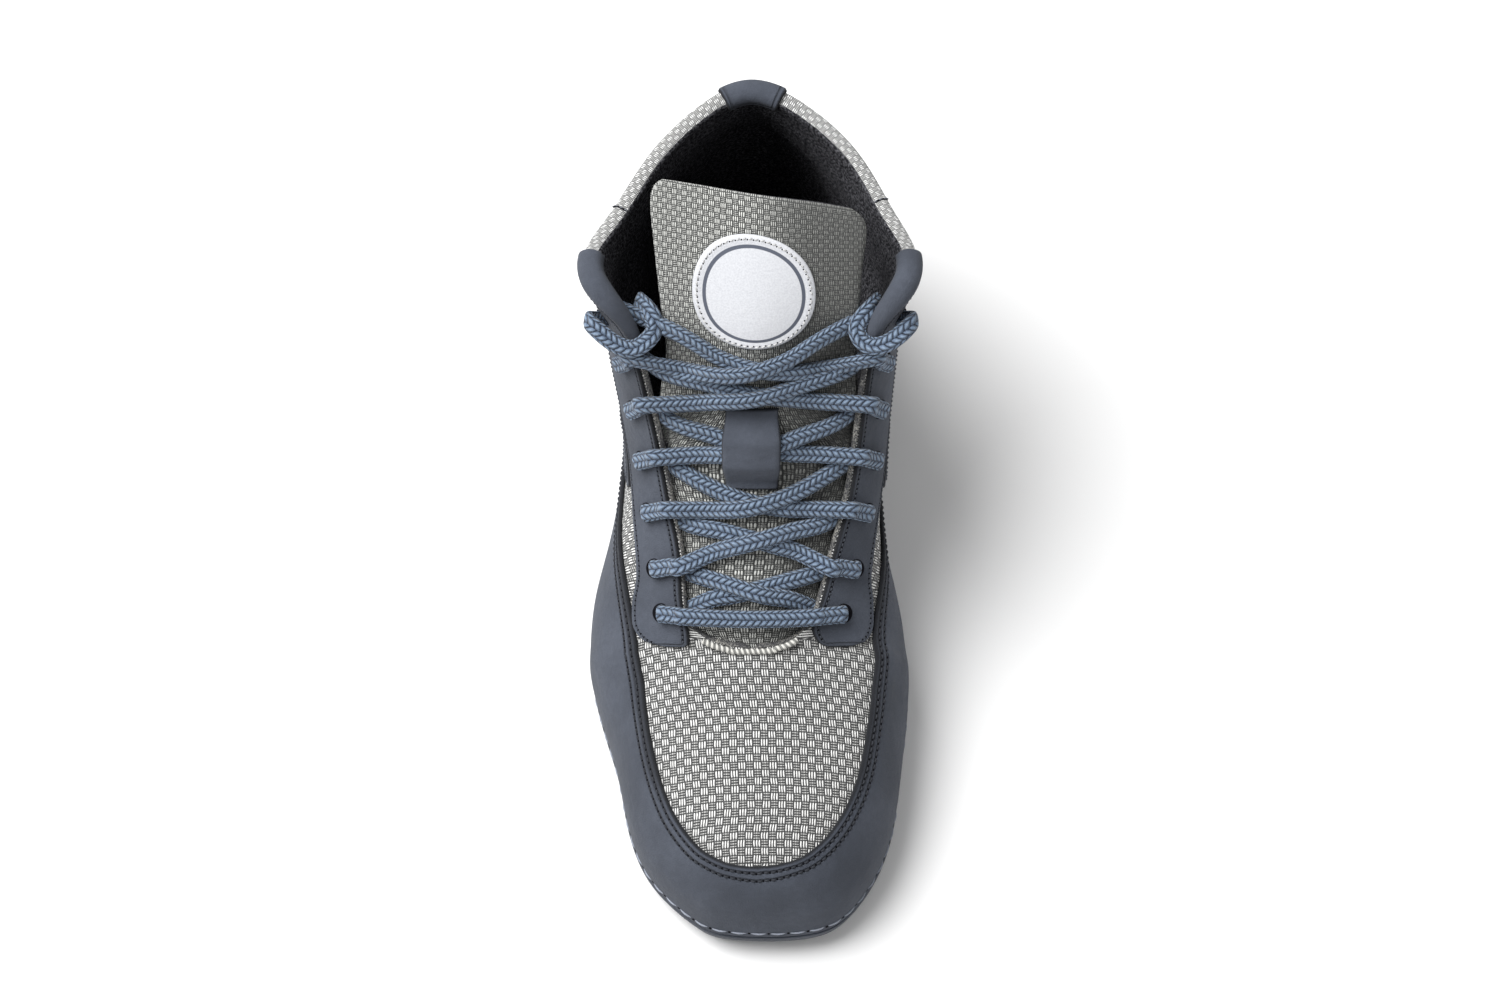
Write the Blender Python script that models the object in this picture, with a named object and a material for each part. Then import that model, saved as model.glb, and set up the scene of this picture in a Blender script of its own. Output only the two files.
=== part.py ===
# Wrestling shoe, right foot, size 43: a mid-high lace-up with a thin cup sole.
# Metres, +Z up. The toe points to -Y, the heel to +Y, the inner (medial) side to +X.
# A distance from the toe tip towards the heel is called a reach.
import math

import bmesh
import bpy
import numpy as np
from mathutils import Vector

# Driving sizes
LENGTH = 0.278            # sole, toe tip to heel
BALL_WIDTH = 0.108        # sole, across the ball of the foot
VAMP_HEIGHT = 0.060       # top of the vamp at the base of the throat
COLLAR_HEIGHT = 0.141     # top of the collar at the back
TOE_SPRING = 0.0060       # lift of the sole's underside at the toe tip
ARCH_LIFT = 0.0018        # lift of the underside at the waist of the sole
HEEL_LIFT = 0.0030        # lift of the underside at the very back
SOLE_PLATE = 0.0050       # sole under the foot
RIM_HEIGHT = 0.0080       # cup wall of the sole above its plate
RIM_WALL = 0.0030         # thickness of that cup wall
EDGE_ROUND = 0.0035       # how far the underside is drawn in from the outline
SIDE_STEP = 0.0007        # depth of the step along the side of the sole
GROOVE_WIDTH = 0.0024     # tread grooves
GROOVE_DEPTH = 0.0015
GROOVE_PITCH = 0.0090
WALL = 0.0020             # upper, mesh and lining together
COLLAR_PADDING = 0.0056   # upper at the padded collar
GAP = 0.0003              # clearance between pieces that touch
OVERLAY = 0.0012          # nubuck laid over the mesh
INSOLE_THICKNESS = 0.0040
TONGUE_PADDING = 0.0050
EYELET_BORE = 0.0050
LACE_WIDTH = 0.0060
LACE_THICKNESS = 0.0034
KEEPER_WIDTH = 0.0170     # strap on the tongue that the lace runs under
KEEPER_THICKNESS = 0.0012
BADGE_WIDTH = 0.0400
BADGE_THICKNESS = 0.0009
PIPING = 0.0010           # half the thickness of the rolled edge at the throat

HALF_BALL = BALL_WIDTH / 2

# One row for each section, from the middle of the toe round to the middle of the heel.
# reach: where the section leaves the sole, a share of LENGTH.
# The five widths on each side are shares of HALF_BALL, outer side negative:
# the sole's outline, then the upper at its belly, waist, shoulder and top.
# top_reach is a share of LENGTH. top_rise is 1 at VAMP_HEIGHT and 2 at COLLAR_HEIGHT.
COLUMNS = ("reach",
           "out_sole", "out_belly", "out_waist", "out_shoulder", "out_top",
           "in_sole", "in_belly", "in_waist", "in_shoulder", "in_top",
           "top_reach", "top_rise")
SECTIONS = (
    (0.000, 0.09, 0.09, 0.09, 0.08, 0.06, 0.09, 0.09, 0.09, 0.08, 0.06, 0.061, 0.69),
    (0.004, -0.19, -0.17, -0.13, -0.06, 0.06, 0.36, 0.34, 0.29, 0.20, 0.06, 0.074, 0.72),
    (0.020, -0.36, -0.34, -0.28, -0.16, 0.06, 0.55, 0.52, 0.45, 0.32, 0.06, 0.090, 0.75),
    (0.054, -0.55, -0.52, -0.44, -0.26, 0.07, 0.70, 0.67, 0.59, 0.42, 0.07, 0.115, 0.79),
    (0.099, -0.70, -0.67, -0.58, -0.36, 0.07, 0.82, 0.79, 0.70, 0.50, 0.07, 0.147, 0.82),
    (0.155, -0.79, -0.76, -0.68, -0.43, 0.06, 0.90, 0.87, 0.79, 0.57, 0.06, 0.187, 0.86),
    (0.209, -0.84, -0.82, -0.74, -0.48, 0.05, 0.93, 0.91, 0.84, 0.60, 0.05, 0.228, 0.90),
    (0.263, -0.92, -0.90, -0.81, -0.52, 0.02, 0.97, 0.94, 0.87, 0.63, 0.02, 0.271, 0.95),
    (0.324, -1.00, -0.98, -0.88, -0.56, 0.00, 0.99, 0.96, 0.90, 0.64, 0.00, 0.309, 1.00),
    (0.371, -1.01, -0.99, -0.90, -0.63, -0.37, 0.97, 0.94, 0.88, 0.65, 0.34, 0.333, 1.03),
    (0.432, -0.98, -0.96, -0.88, -0.68, -0.43, 0.89, 0.88, 0.85, 0.71, 0.47, 0.397, 1.14),
    (0.496, -0.89, -0.88, -0.83, -0.71, -0.49, 0.77, 0.78, 0.80, 0.76, 0.57, 0.457, 1.27),
    (0.561, -0.80, -0.81, -0.79, -0.73, -0.55, 0.67, 0.71, 0.79, 0.80, 0.63, 0.507, 1.42),
    (0.626, -0.73, -0.76, -0.78, -0.78, -0.62, 0.62, 0.67, 0.77, 0.83, 0.67, 0.550, 1.61),
    (0.683, -0.70, -0.73, -0.78, -0.84, -0.69, 0.60, 0.66, 0.76, 0.86, 0.71, 0.585, 1.80),
    (0.737, -0.69, -0.71, -0.77, -0.88, -0.79, 0.61, 0.67, 0.75, 0.88, 0.79, 0.606, 1.97),
    (0.784, -0.68, -0.70, -0.75, -0.90, -0.98, 0.64, 0.68, 0.74, 0.89, 0.96, 0.635, 2.07),
    (0.835, -0.67, -0.69, -0.72, -0.84, -1.01, 0.65, 0.68, 0.71, 0.83, 0.99, 0.690, 2.04),
    (0.888, -0.62, -0.65, -0.66, -0.71, -0.85, 0.61, 0.64, 0.65, 0.71, 0.86, 0.753, 1.98),
    (0.942, -0.50, -0.53, -0.52, -0.52, -0.64, 0.50, 0.52, 0.51, 0.52, 0.67, 0.825, 1.97),
    (0.984, -0.28, -0.30, -0.29, -0.28, -0.36, 0.28, 0.30, 0.29, 0.28, 0.38, 0.886, 1.98),
    (1.000, 0.00, 0.00, 0.00, 0.00, 0.00, 0.00, 0.00, 0.00, 0.00, 0.00, 0.919, 2.00),
)
HEEL = len(SECTIONS) - 1      # number of the section at the heel
THROAT = 8                    # number of the section where vamp and throat meet
CORNER = 16                   # number of the section at the front corner of the collar

# Share of the way from sole to top at which each level lies
LEVEL_REACH = (0.10, 0.31, 0.64)
VAMP_LEVELS = (0.24, 0.57, 0.86)
SHAFT_LEVELS = (0.16, 0.45, 0.74)
FEATHER, RIM, BELLY, WAIST, SHOULDER, TOP = 0, 1, 2, 3, 4, 5

OUTER, INNER = -1, 1          # the two sides of the shoe


def column(name):
    place = COLUMNS.index(name)
    return [row[place] for row in SECTIONS]


class Spline:
    """A smooth curve through evenly numbered points, closed or with free ends."""

    def __init__(self, points, closed=False):
        self.points = np.array(points, dtype=float).reshape(len(points), -1)
        self.closed = closed
        count = len(self.points)
        matrix = np.zeros((count, count))
        pull = np.zeros_like(self.points)
        for i in range(count):
            before, after = i - 1, (i + 1) % count
            if not closed and i in (0, count - 1):
                matrix[i, i] = 1
                continue
            matrix[i, before] += 1
            matrix[i, i] += 4
            matrix[i, after] += 1
            pull[i] = 6 * (self.points[before] - 2 * self.points[i] + self.points[after])
        self.bend = np.linalg.solve(matrix, pull)

    def at(self, where):
        count = len(self.points)
        if self.closed:
            where = where % count
            first = int(where) % count
            second = (first + 1) % count
        else:
            first = min(max(int(where), 0), count - 2)
            second = first + 1
        part = where - int(where) if self.closed else where - first
        if not self.closed and not 0 <= part <= 1:
            return self.beyond(first, part)
        rest = 1 - part
        return (rest * self.points[first] + part * self.points[second]
                + (rest ** 3 - rest) * self.bend[first] / 6
                + (part ** 3 - part) * self.bend[second] / 6)

    def beyond(self, first, part):
        step = self.points[first + 1] - self.points[first]
        if part > 1:
            slope = step + (self.bend[first] + 2 * self.bend[first + 1]) / 6
            return self.points[first + 1] + slope * (part - 1)
        slope = step - (2 * self.bend[first] + self.bend[first + 1]) / 6
        return self.points[first] + slope * part


def round_the_shoe(outer, inner):
    """Toe, outer side, heel, inner side: the order of a curve that runs round the shoe."""
    return outer + inner[-2:0:-1]


AROUND = Spline(list(zip(
    round_the_shoe(column("reach"), column("reach")),
    round_the_shoe(column("out_sole"), column("in_sole")),
    round_the_shoe(column("out_belly"), column("in_belly")),
    round_the_shoe(column("out_waist"), column("in_waist")),
    round_the_shoe(column("out_shoulder"), column("in_shoulder")))), closed=True)
RIDGE = Spline(list(zip(
    column("top_reach"), column("out_top"), column("top_rise")))[:THROAT + 1])
OUT_TOP = list(zip(column("top_reach"), column("out_top"), column("top_rise")))[THROAT:]
IN_TOP = list(zip(column("top_reach"), column("in_top"), column("top_rise")))[THROAT:]
TOP_LINE = Spline(OUT_TOP + IN_TOP[-2:0:-1], closed=True)


def round_place(side, u):
    return u if side == OUTER else 2 * HEEL - u


def height_of(rise):
    if rise <= 1:
        return rise * VAMP_HEIGHT
    return VAMP_HEIGHT + (rise - 1) * (COLLAR_HEIGHT - VAMP_HEIGHT)


def underside(reach):
    """Height of the sole's underside: flat at ball and heel, lifted at toe, waist and back."""
    share = reach / LENGTH
    toe = TOE_SPRING * max(0, 1 - share / 0.24) ** 2
    arch = ARCH_LIFT * math.sin(math.pi * min(max((share - 0.46) / 0.26, 0), 1)) ** 2
    back = HEEL_LIFT * max(0, (share - 0.90) / 0.10) ** 2
    return toe + arch + back


def deck(reach):
    return underside(reach) + SOLE_PLATE


def rim(reach):
    return deck(reach) + RIM_HEIGHT


def outline(side, u, inset=0.0):
    """Point (x, reach) of the sole's outline, moved in by a distance at right angles."""
    place = round_place(side, u)
    step = 0.01
    here, ahead, behind = AROUND.at(place), AROUND.at(place + step), AROUND.at(place - step)
    dx = (ahead[1] - behind[1]) * HALF_BALL
    dy = (ahead[0] - behind[0]) * LENGTH
    size = math.hypot(dx, dy)
    return (here[1] * HALF_BALL + inset * dy / size,
            here[0] * LENGTH - inset * dx / size)


def top_point(side, u):
    if u <= THROAT:
        reach, width, rise = RIDGE.at(u)
    else:
        place = u - THROAT
        if side == INNER:
            place = 2 * (HEEL - THROAT) - place
        reach, width, rise = TOP_LINE.at(place)
    return np.array((width * HALF_BALL, reach * LENGTH, height_of(rise)))


def half_rib(side, u):
    """The points from the sole's rim to the top line on one side of a section."""
    x, reach = outline(side, u, RIM_WALL + GAP)
    foot = np.array((x, reach, rim(reach)))
    top = top_point(side, u)
    _, _, belly, waist, shoulder = AROUND.at(round_place(side, u))
    slope = min(max((top[2] - VAMP_HEIGHT) / (0.6 * (COLLAR_HEIGHT - VAMP_HEIGHT)), 0), 1)
    points = [foot]
    for width, along, low, high in zip((belly, waist, shoulder), LEVEL_REACH,
                                       VAMP_LEVELS, SHAFT_LEVELS):
        rise = low + (high - low) * slope
        points.append(np.array((width * HALF_BALL,
                                foot[1] + along * (top[1] - foot[1]),
                                foot[2] + rise * (top[2] - foot[2]))))
    return points + [top]


RIBS = {}


def rib(side, u):
    key = (side, round(u, 6))
    if key not in RIBS:
        points = half_rib(side, u)
        if 0 < u <= THROAT:
            points = points + half_rib(-side, u)[-2::-1]
        RIBS[key] = Spline(points)
    return RIBS[key]


def surface(side, u, v):
    """Outside of the upper as (x, reach, z). v runs from FEATHER to TOP up a section."""
    if v >= RIM:
        return rib(side, u).at(v - RIM)
    x, reach = outline(side, u, RIM_WALL + GAP)
    low = deck(reach) + GAP
    return np.array((x, reach, low + (rim(reach) - low) * v))


def surface_normal(side, u, v, step=0.02):
    """Unit normal of the upper, pointing out."""
    if u < step:
        below = min(v, TOP - 10 * step)
        along = surface(OUTER, step, below) - surface(INNER, step, below)
        along = along if side == OUTER else -along
    elif u > HEEL - step:
        along = surface(-side, HEEL - step, v) - surface(side, HEEL - step, v)
    elif abs(u - THROAT) < step:
        along = surface(side, u, v) - surface(side, u - step, v)
    else:
        along = surface(side, u + step, v) - surface(side, u - step, v)
    high = v if u < step and v > TOP - step else v + step
    rise = surface(side, u, high) - surface(side, u, max(v - step, FEATHER))
    normal = np.cross(along, rise) * side
    return normal / np.linalg.norm(normal)


def skin(side, u, v, out=0.0):
    """Point of the upper in space, moved out by a distance at right angles to it."""
    if u < 0:
        side, u = -side, -u
    if u > HEEL:
        side, u = -side, 2 * HEEL - u
    point = surface(side, u, v)
    if out:
        point = point + surface_normal(side, u, v) * out
    return Vector((point[0], point[1], point[2]))


FLAT = math.radians(1.6)      # faces of a cut piece within this angle become one

# Stations along a side and levels up it that every layer of the upper shares
STATIONS = ([i / 2 for i in range(20)] + [10, 11, 12, 13, 14, 15, 15.5, 16, 16.5, 17, 18]
            + [19, 19.5, 20, 20.5, 21])
LEVELS = (0, 1, 2, 2.6, 3.15, 3.75, 4.2, 4.6, 5)


def smooth(value):
    value = min(max(value, 0.0), 1.0)
    return value * value * (3 - 2 * value)


def wall(u, v):
    """Thickness of the upper: an even wall that fills out to the padded collar."""
    padding = smooth((u - CORNER + 1.6) / 1.6) * smooth(v - SHOULDER + 0.4)
    return WALL + (COLLAR_PADDING - WALL) * padding


def placed(mesh, name, colour, roughness):
    mesh.name = name
    part = bpy.data.objects.new(name, mesh)
    model.objects.link(part)
    part.parent = shoe
    finish = bpy.data.materials.new(name)
    finish.use_nodes = True
    shader = finish.node_tree.nodes["Principled BSDF"]
    shader.inputs["Base Color"].default_value = (*colour, 1)
    shader.inputs["Roughness"].default_value = roughness
    mesh.materials.append(finish)
    mesh.shade_smooth()
    mesh.set_sharp_from_angle(angle=math.radians(40))
    return part


def mesh_from(sheets, weld=0.00001):
    """A closed mesh from sheets of points, welded where they meet, faces outward.

    Every sheet is split along the same diagonal, so layers over each other stay parallel."""
    work = bmesh.new()
    for sheet in sheets:
        rows = [[work.verts.new(point) for point in row] for row in sheet]
        for low, high in zip(rows, rows[1:]):
            for a, b, c, d in zip(low, low[1:], high[1:], high):
                work.faces.new((a, b, d))
                work.faces.new((b, c, d))
    bmesh.ops.remove_doubles(work, verts=work.verts, dist=weld)
    bmesh.ops.dissolve_degenerate(work, edges=work.edges, dist=weld)
    bmesh.ops.recalc_face_normals(work, faces=work.faces)
    mesh = bpy.data.meshes.new("layer")
    work.to_mesh(mesh)
    work.free()
    return mesh


def rolled_rim(outside, inside, lift, bulge=0.45):
    """Points over an edge between two faces of a wall, raised in the middle."""
    across = inside - outside
    points = [outside]
    for turn in (0.33, 0.67):
        angle = math.pi * turn
        points.append(outside + across * (1 - math.cos(angle)) / 2
                      + lift * (across.length * bulge * math.sin(angle)))
    return points + [inside]


def edge_direction(side, u, step=0.05):
    """The way that the upper points at its top line, along its own face."""
    normal = surface_normal(side, u, TOP)
    if u < THROAT + step:
        along = top_point(OUTER, THROAT + step) - top_point(INNER, THROAT + step)
        along = along if side == OUTER else -along
    elif u > HEEL - step:
        along = top_point(-side, HEEL - step) - top_point(side, HEEL - step)
    else:
        along = top_point(side, u + step) - top_point(side, u - step)
    return Vector(np.cross(normal, along) * -side).normalized()


def upper_layer(inside, outside, rolled):
    """A layer over the whole upper between two distances from its outer face."""
    sheets = []
    for side in (OUTER, INNER):
        outer_face = [[skin(side, u, v, outside(u, v)) for v in LEVELS] for u in STATIONS]
        inner_face = [[skin(side, u, v, inside(u, v)) for v in LEVELS] for u in STATIONS]
        sheets.append(outer_face)
        sheets.append(inner_face)
        sheets.append([(low[0], high[0]) for low, high in zip(inner_face, outer_face)])
        edge = []
        for u, low, high in zip(STATIONS, inner_face, outer_face):
            if u >= THROAT and rolled:
                edge.append(rolled_rim(high[-1], low[-1], edge_direction(side, u)))
            elif u >= THROAT:
                edge.append((high[-1], low[-1]))
        sheets.append(edge)
    return mesh_from(sheets)


def cut(part, cutter, operation, flat=FLAT):
    """Cut a part with a cutter and keep the result as its mesh."""
    change = part.modifiers.new("cut", "BOOLEAN")
    change.operation = operation
    change.solver = "EXACT"
    change.object = cutter
    bpy.context.view_layer.update()
    ready = part.evaluated_get(bpy.context.evaluated_depsgraph_get())
    mesh = bpy.data.meshes.new_from_object(ready)
    part.modifiers.remove(change)
    work = bmesh.new()
    work.from_mesh(mesh)
    bmesh.ops.remove_doubles(work, verts=work.verts, dist=0.00002)
    bmesh.ops.dissolve_degenerate(work, edges=work.edges, dist=0.00002)
    bmesh.ops.dissolve_limit(work, angle_limit=flat, verts=work.verts, edges=work.edges)
    bmesh.ops.triangulate(work, faces=work.faces)
    work.to_mesh(mesh)
    work.free()
    part.data = mesh
    mesh.shade_smooth()
    mesh.set_sharp_from_angle(angle=math.radians(40))


def cutter_from(mesh, name):
    cutter = bpy.data.objects.new(name, mesh)
    cutters.objects.link(cutter)
    cutter.hide_render = True
    cutter.display_type = "WIRE"
    return cutter


def patch_cutter(name, patches):
    """Blocks through the upper, each over a stretch of sections between two levels.

    A patch is a side and a list of (section, low level, high level)."""
    sheets = []
    for side, bounds in patches:
        faces = []
        for out in (-0.0035, 0.0060):
            face = []
            for u, low, high in bounds:
                face.append([skin(side, u, low + (high - low) * part / 3, out)
                             for part in range(4)])
            faces.append(face)
        below, above = faces
        sheets += [below, above, [below[0], above[0]], [below[-1], above[-1]],
                   [(a[0], b[0]) for a, b in zip(below, above)],
                   [(a[-1], b[-1]) for a, b in zip(below, above)]]
    return cutter_from(mesh_from(sheets), name)


def overlay(name, patches, colour):
    """A piece of nubuck cut from a layer over the upper."""
    piece = placed(upper_layer(lambda u, v: GAP, lambda u, v: GAP + OVERLAY, False),
                   name, colour, 0.85)
    cutter = patch_cutter(name + "_outline", patches)
    cut(piece, cutter, "INTERSECT")
    return piece


def ring_solid(rings, crossings=2):
    """A solid from rings round the shoe: their sides, and a floor across first and last."""
    sheets = []
    sides = {}
    for side in (OUTER, INNER):
        sides[side] = [[Vector((x, y, height(y)))
                        for x, y in (outline(side, u, inset) for u in STATIONS)]
                       for inset, height in rings]
        sheets.append(sides[side])
    for end in (0, -1):
        floor = []
        for a, b in zip(sides[OUTER][end], sides[INNER][end]):
            floor.append([a.lerp(b, i / crossings) for i in range(crossings + 1)])
        sheets.append(floor)
    return mesh_from(sheets)


def make_outsole():
    rings = (
        (EDGE_ROUND, underside),
        (EDGE_ROUND * 0.35, lambda y: underside(y) + SOLE_PLATE * 0.25),
        (SIDE_STEP, lambda y: underside(y) + SOLE_PLATE * 0.80),
        (0.0, lambda y: underside(y) + SOLE_PLATE),
        (0.0, lambda y: rim(y) - RIM_WALL * 0.30),
        (RIM_WALL * 0.25, rim),
        (RIM_WALL, rim),
        (RIM_WALL, deck),
    )
    sole = placed(ring_solid(rings), "outsole", (0.035, 0.042, 0.055), 0.65)
    grooves = bmesh.new()
    for first, last in ((0.11, 0.48), (0.72, 0.95)):
        count = int((last - first) * LENGTH / GROOVE_PITCH) + 1
        for number in range(count):
            bar = bmesh.ops.create_cube(grooves, size=1)["verts"]
            bmesh.ops.scale(grooves, verts=bar, vec=(BALL_WIDTH * 1.4, GROOVE_WIDTH,
                                                     GROOVE_DEPTH * 2))
            reach = first * LENGTH + number * GROOVE_PITCH
            bmesh.ops.translate(grooves, verts=bar, vec=(0, reach, underside(reach)))
    mesh = bpy.data.meshes.new("grooves")
    grooves.to_mesh(mesh)
    grooves.free()
    cut(sole, cutter_from(mesh, "tread_grooves"), "DIFFERENCE")


def make_insole():
    inset = RIM_WALL + GAP + WALL + GAP
    rings = (
        (inset, lambda y: deck(y) + GAP),
        (inset, lambda y: deck(y) + GAP + INSOLE_THICKNESS * 0.8),
        (inset + 0.0012, lambda y: deck(y) + GAP + INSOLE_THICKNESS),
    )
    placed(ring_solid(rings), "insole", (0.03, 0.03, 0.033), 0.95)


# Eyelets up each facing, as (section, level)
EYELETS = ((9.25, 4.50), (10.0, 4.48), (11.0, 4.50), (12.0, 4.52), (13.0, 4.60),
           (14.0, 4.64), (15.3, 4.62))


def eyelet_cutter():
    """Round bars through both facings, square to the upper."""
    work = bmesh.new()
    for side in (OUTER, INNER):
        for u, v in EYELETS:
            inside, outside = skin(side, u, v, -0.012), skin(side, u, v, 0.008)
            axis = outside - inside
            bar = bmesh.ops.create_cone(work, cap_ends=True, segments=6,
                                        radius1=EYELET_BORE / 2, radius2=EYELET_BORE / 2,
                                        depth=axis.length)["verts"]
            bmesh.ops.rotate(work, verts=bar,
                             matrix=axis.to_track_quat("Z", "Y").to_matrix())
            bmesh.ops.translate(work, verts=bar, vec=(inside + outside) / 2)
    mesh = bpy.data.meshes.new("eyelet_bars")
    work.to_mesh(mesh)
    work.free()
    return cutter_from(mesh, "eyelet_bars")


SLATE = (0.075, 0.088, 0.112)
MESH_GREY = (0.40, 0.40, 0.385)
LACE_BLUE = (0.085, 0.125, 0.185)


def make_upper():
    mesh = upper_layer(lambda u, v: -wall(u, v), lambda u, v: 0.0, True)
    upper = placed(mesh, "upper", MESH_GREY, 0.8)
    cut(upper, eyelet_cutter(), "DIFFERENCE")


def make_overlays():
    edge = TOP + 0.3
    foot = 1.13
    guard_out = [(0, foot, 4.62), (1, foot, 4.30), (2, foot, 3.88), (3, foot, 3.42),
                 (4, foot, 3.33), (5, foot, 3.35), (6, foot, 3.39), (7, foot, 3.45),
                 (8, foot, 3.52), (9, foot, 3.60), (10, foot, 3.50), (11, foot, 3.20),
                 (12, foot, 2.85), (13, foot, 2.55), (14.5, foot, 2.25), (16.7, foot, 2.05)]
    guard_in = [(1, foot, 4.10), (2, foot, 3.85), (3, foot, 3.50), (4, foot, 3.42),
                (5, foot, 3.42), (6, foot, 3.43), (7, foot, 3.45), (8, foot, 3.47),
                (9, foot, 3.50), (10, foot, 3.48), (11, foot, 3.20), (12, foot, 2.85),
                (13, foot, 2.55), (14.5, foot, 2.25), (16.7, foot, 2.05)]
    guard = [(-u, low, high) for u, low, high in reversed(guard_in)] + guard_out
    overlay("toe_guard", [(OUTER, guard)], SLATE)
    counter = [(16.8, foot, 2.00), (17.5, foot, 2.35), (18.5, foot, 2.75), (20, foot, 2.95)]
    counter += [(HEEL, foot, 3.00)] + [(2 * HEEL - u, a, b) for u, a, b in reversed(counter)]
    overlay("heel_counter", [(OUTER, counter)], SLATE)
    stay = [(8.22, 4.16, 4.34), (8.4, 3.95, 4.50), (8.6, 3.80, 4.62), (8.9, 3.69, 4.85),
            (9.2, 3.67, edge), (9.6, 3.76, edge), (10, 3.90, edge), (11, 3.93, edge),
            (12, 3.92, edge), (13, 3.94, edge), (14, 4.02, edge), (15, 4.10, edge),
            (15.6, 4.24, edge), (16.2, 4.42, edge), (16.75, 4.64, edge)]
    strap = [(11.6, 3.72, 3.85), (12.1, 3.42, 3.86), (12.7, 3.16, 3.87), (13.3, 2.92, 3.62),
             (14.2, 2.62, 3.30), (15.2, 2.36, 2.96), (16.2, 2.18, 2.68), (16.9, 2.10, 2.44)]
    for side, word in ((OUTER, "outer"), (INNER, "inner")):
        piece = overlay("eyestay_" + word, [(side, stay)], SLATE)
        cut(piece, eyelet_cutter(), "DIFFERENCE")
        overlay("quarter_strap_" + word, [(side, strap)], SLATE)
    tab = [(HEEL + place, 3.90, edge) for place in (-0.72, -0.36, 0, 0.36, 0.72)]
    overlay("heel_tab", [(OUTER, tab)], SLATE)


# Tongue, lower end first: the number of its row, its middle as (reach, height), and its
# outer and inner edges as (x, reach, height). Rows up to the facings' upper half are worked
# out from the upper; reaches are shares of LENGTH, x of HALF_BALL, heights as top_rise.
TONGUE_COLUMNS = ("mid_reach", "mid_rise", "out_x", "out_reach", "out_rise",
                  "in_x", "in_reach", "in_rise")
FREE_TONGUE = (
    (0.540, 1.63, -0.57, 0.553, 1.58, 0.65, 0.555, 1.575),
    (0.571, 1.82, -0.53, 0.589, 1.77, 0.64, 0.592, 1.765),
    (0.600, 1.99, -0.55, 0.619, 1.955, 0.65, 0.617, 1.945),
    (0.651, 2.16, -0.59, 0.673, 2.16, 0.67, 0.658, 2.135),
    (0.700, 2.29, -0.61, 0.723, 2.30, 0.685, 0.687, 2.27),
    (0.717, 2.335, -0.54, 0.738, 2.345, 0.60, 0.701, 2.325),
)
# Sections under the facings: the section, the level of the tongue's edge, the level where
# it shows from under the facing, and how far its middle stands above the facings' line
COVERED_TONGUE = (
    (6.9, 4.20, 4.62, 0.0),
    (7.5, 4.20, 4.62, 0.0),
    (8.0, 4.20, 4.60, 0.0),
    (9.0, 4.35, 4.93, -0.0016),
    (10.0, 4.45, 4.93, 0.0020),
    (11.0, 4.50, 4.93, 0.0030),
    (12.0, 4.72, 4.93, 0.0036),
)
VAMP_CLEARANCE = 0.0007       # tongue under the vamp
FACING_CLEARANCE = 0.0020     # tongue under the facings, where it is bowed
TONGUE_STRIPS = 8             # strips across the tongue


def tongue_rows():
    """Five points across each row: edge, shoulder, middle, shoulder, edge."""
    rows = []
    for u, edge, shows, crown in COVERED_TONGUE:
        drop = -(WALL + (VAMP_CLEARANCE if u <= THROAT else FACING_CLEARANCE))
        flanks = [[skin(side, u, level, drop) for level in (edge, shows)]
                  for side in (OUTER, INNER)]
        if u <= THROAT:
            middle = skin(OUTER, u, TOP, drop)
        else:
            line = [Vector(top_point(side, u)) for side in (OUTER, INNER)]
            along = Vector(top_point(OUTER, u + 0.2)) - Vector(top_point(OUTER, u - 0.2))
            lift = Vector((0, -along.z, along.y)).normalized()
            middle = (line[0] + line[1]) / 2 + lift * crown
        rows.append([flanks[0][0], flanks[0][1], middle, flanks[1][1], flanks[1][0]])
    for row in FREE_TONGUE:
        size = dict(zip(TONGUE_COLUMNS, row))
        middle = Vector((0, size["mid_reach"] * LENGTH, height_of(size["mid_rise"])))
        edges = [Vector((size[word + "_x"] * HALF_BALL, size[word + "_reach"] * LENGTH,
                         height_of(size[word + "_rise"]))) for word in ("out", "in")]
        middle.x = (edges[0].x + edges[1].x) / 2
        shoulders = []
        for point in edges:
            shoulder = middle.lerp(point, 0.55)
            bow = (middle + point) / 2 - shoulder
            shoulders.append(shoulder + Vector((0, -bow.length * 0.1, bow.length * 0.1)))
        rows.append([edges[0], shoulders[0], middle, shoulders[1], edges[1]])
    return rows


TONGUE_ALONG = Spline([[axis for point in row for axis in point] for row in tongue_rows()])
TONGUE_LAST = len(COVERED_TONGUE) + len(FREE_TONGUE) - 1


def tongue_face(row, across):
    """Point on the tongue's face. row counts up its rows, across runs from -1 to 1."""
    points = TONGUE_ALONG.at(row).reshape(5, 3)
    return Spline(points).at(2 + 2 * across)


def tongue(row, across, out=0.0):
    point = tongue_face(row, across)
    if out:
        step = 0.05
        along = tongue_face(row + step, across) - tongue_face(row - step, across)
        over = tongue_face(row, across + step) - tongue_face(row, across - step)
        normal = np.cross(over, along)
        point = point + normal * (out / np.linalg.norm(normal))
    return Vector(point)


TONGUE_GRID_ROWS = [0, 1, 2, 3, 4, 5, 6, 7, 8, 9, 9.5, 10, 11, 11.6, 12]
TONGUE_GRID_STRIPS = [-1 + 2 * i / TONGUE_STRIPS for i in range(TONGUE_STRIPS + 1)]


def sheet_solid(over, under):
    """A closed solid between two sheets of points."""
    return mesh_from([over, under, [over[0], under[0]], [over[-1], under[-1]],
                      [(a[0], b[0]) for a, b in zip(over, under)],
                      [(a[-1], b[-1]) for a, b in zip(over, under)]])


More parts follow.
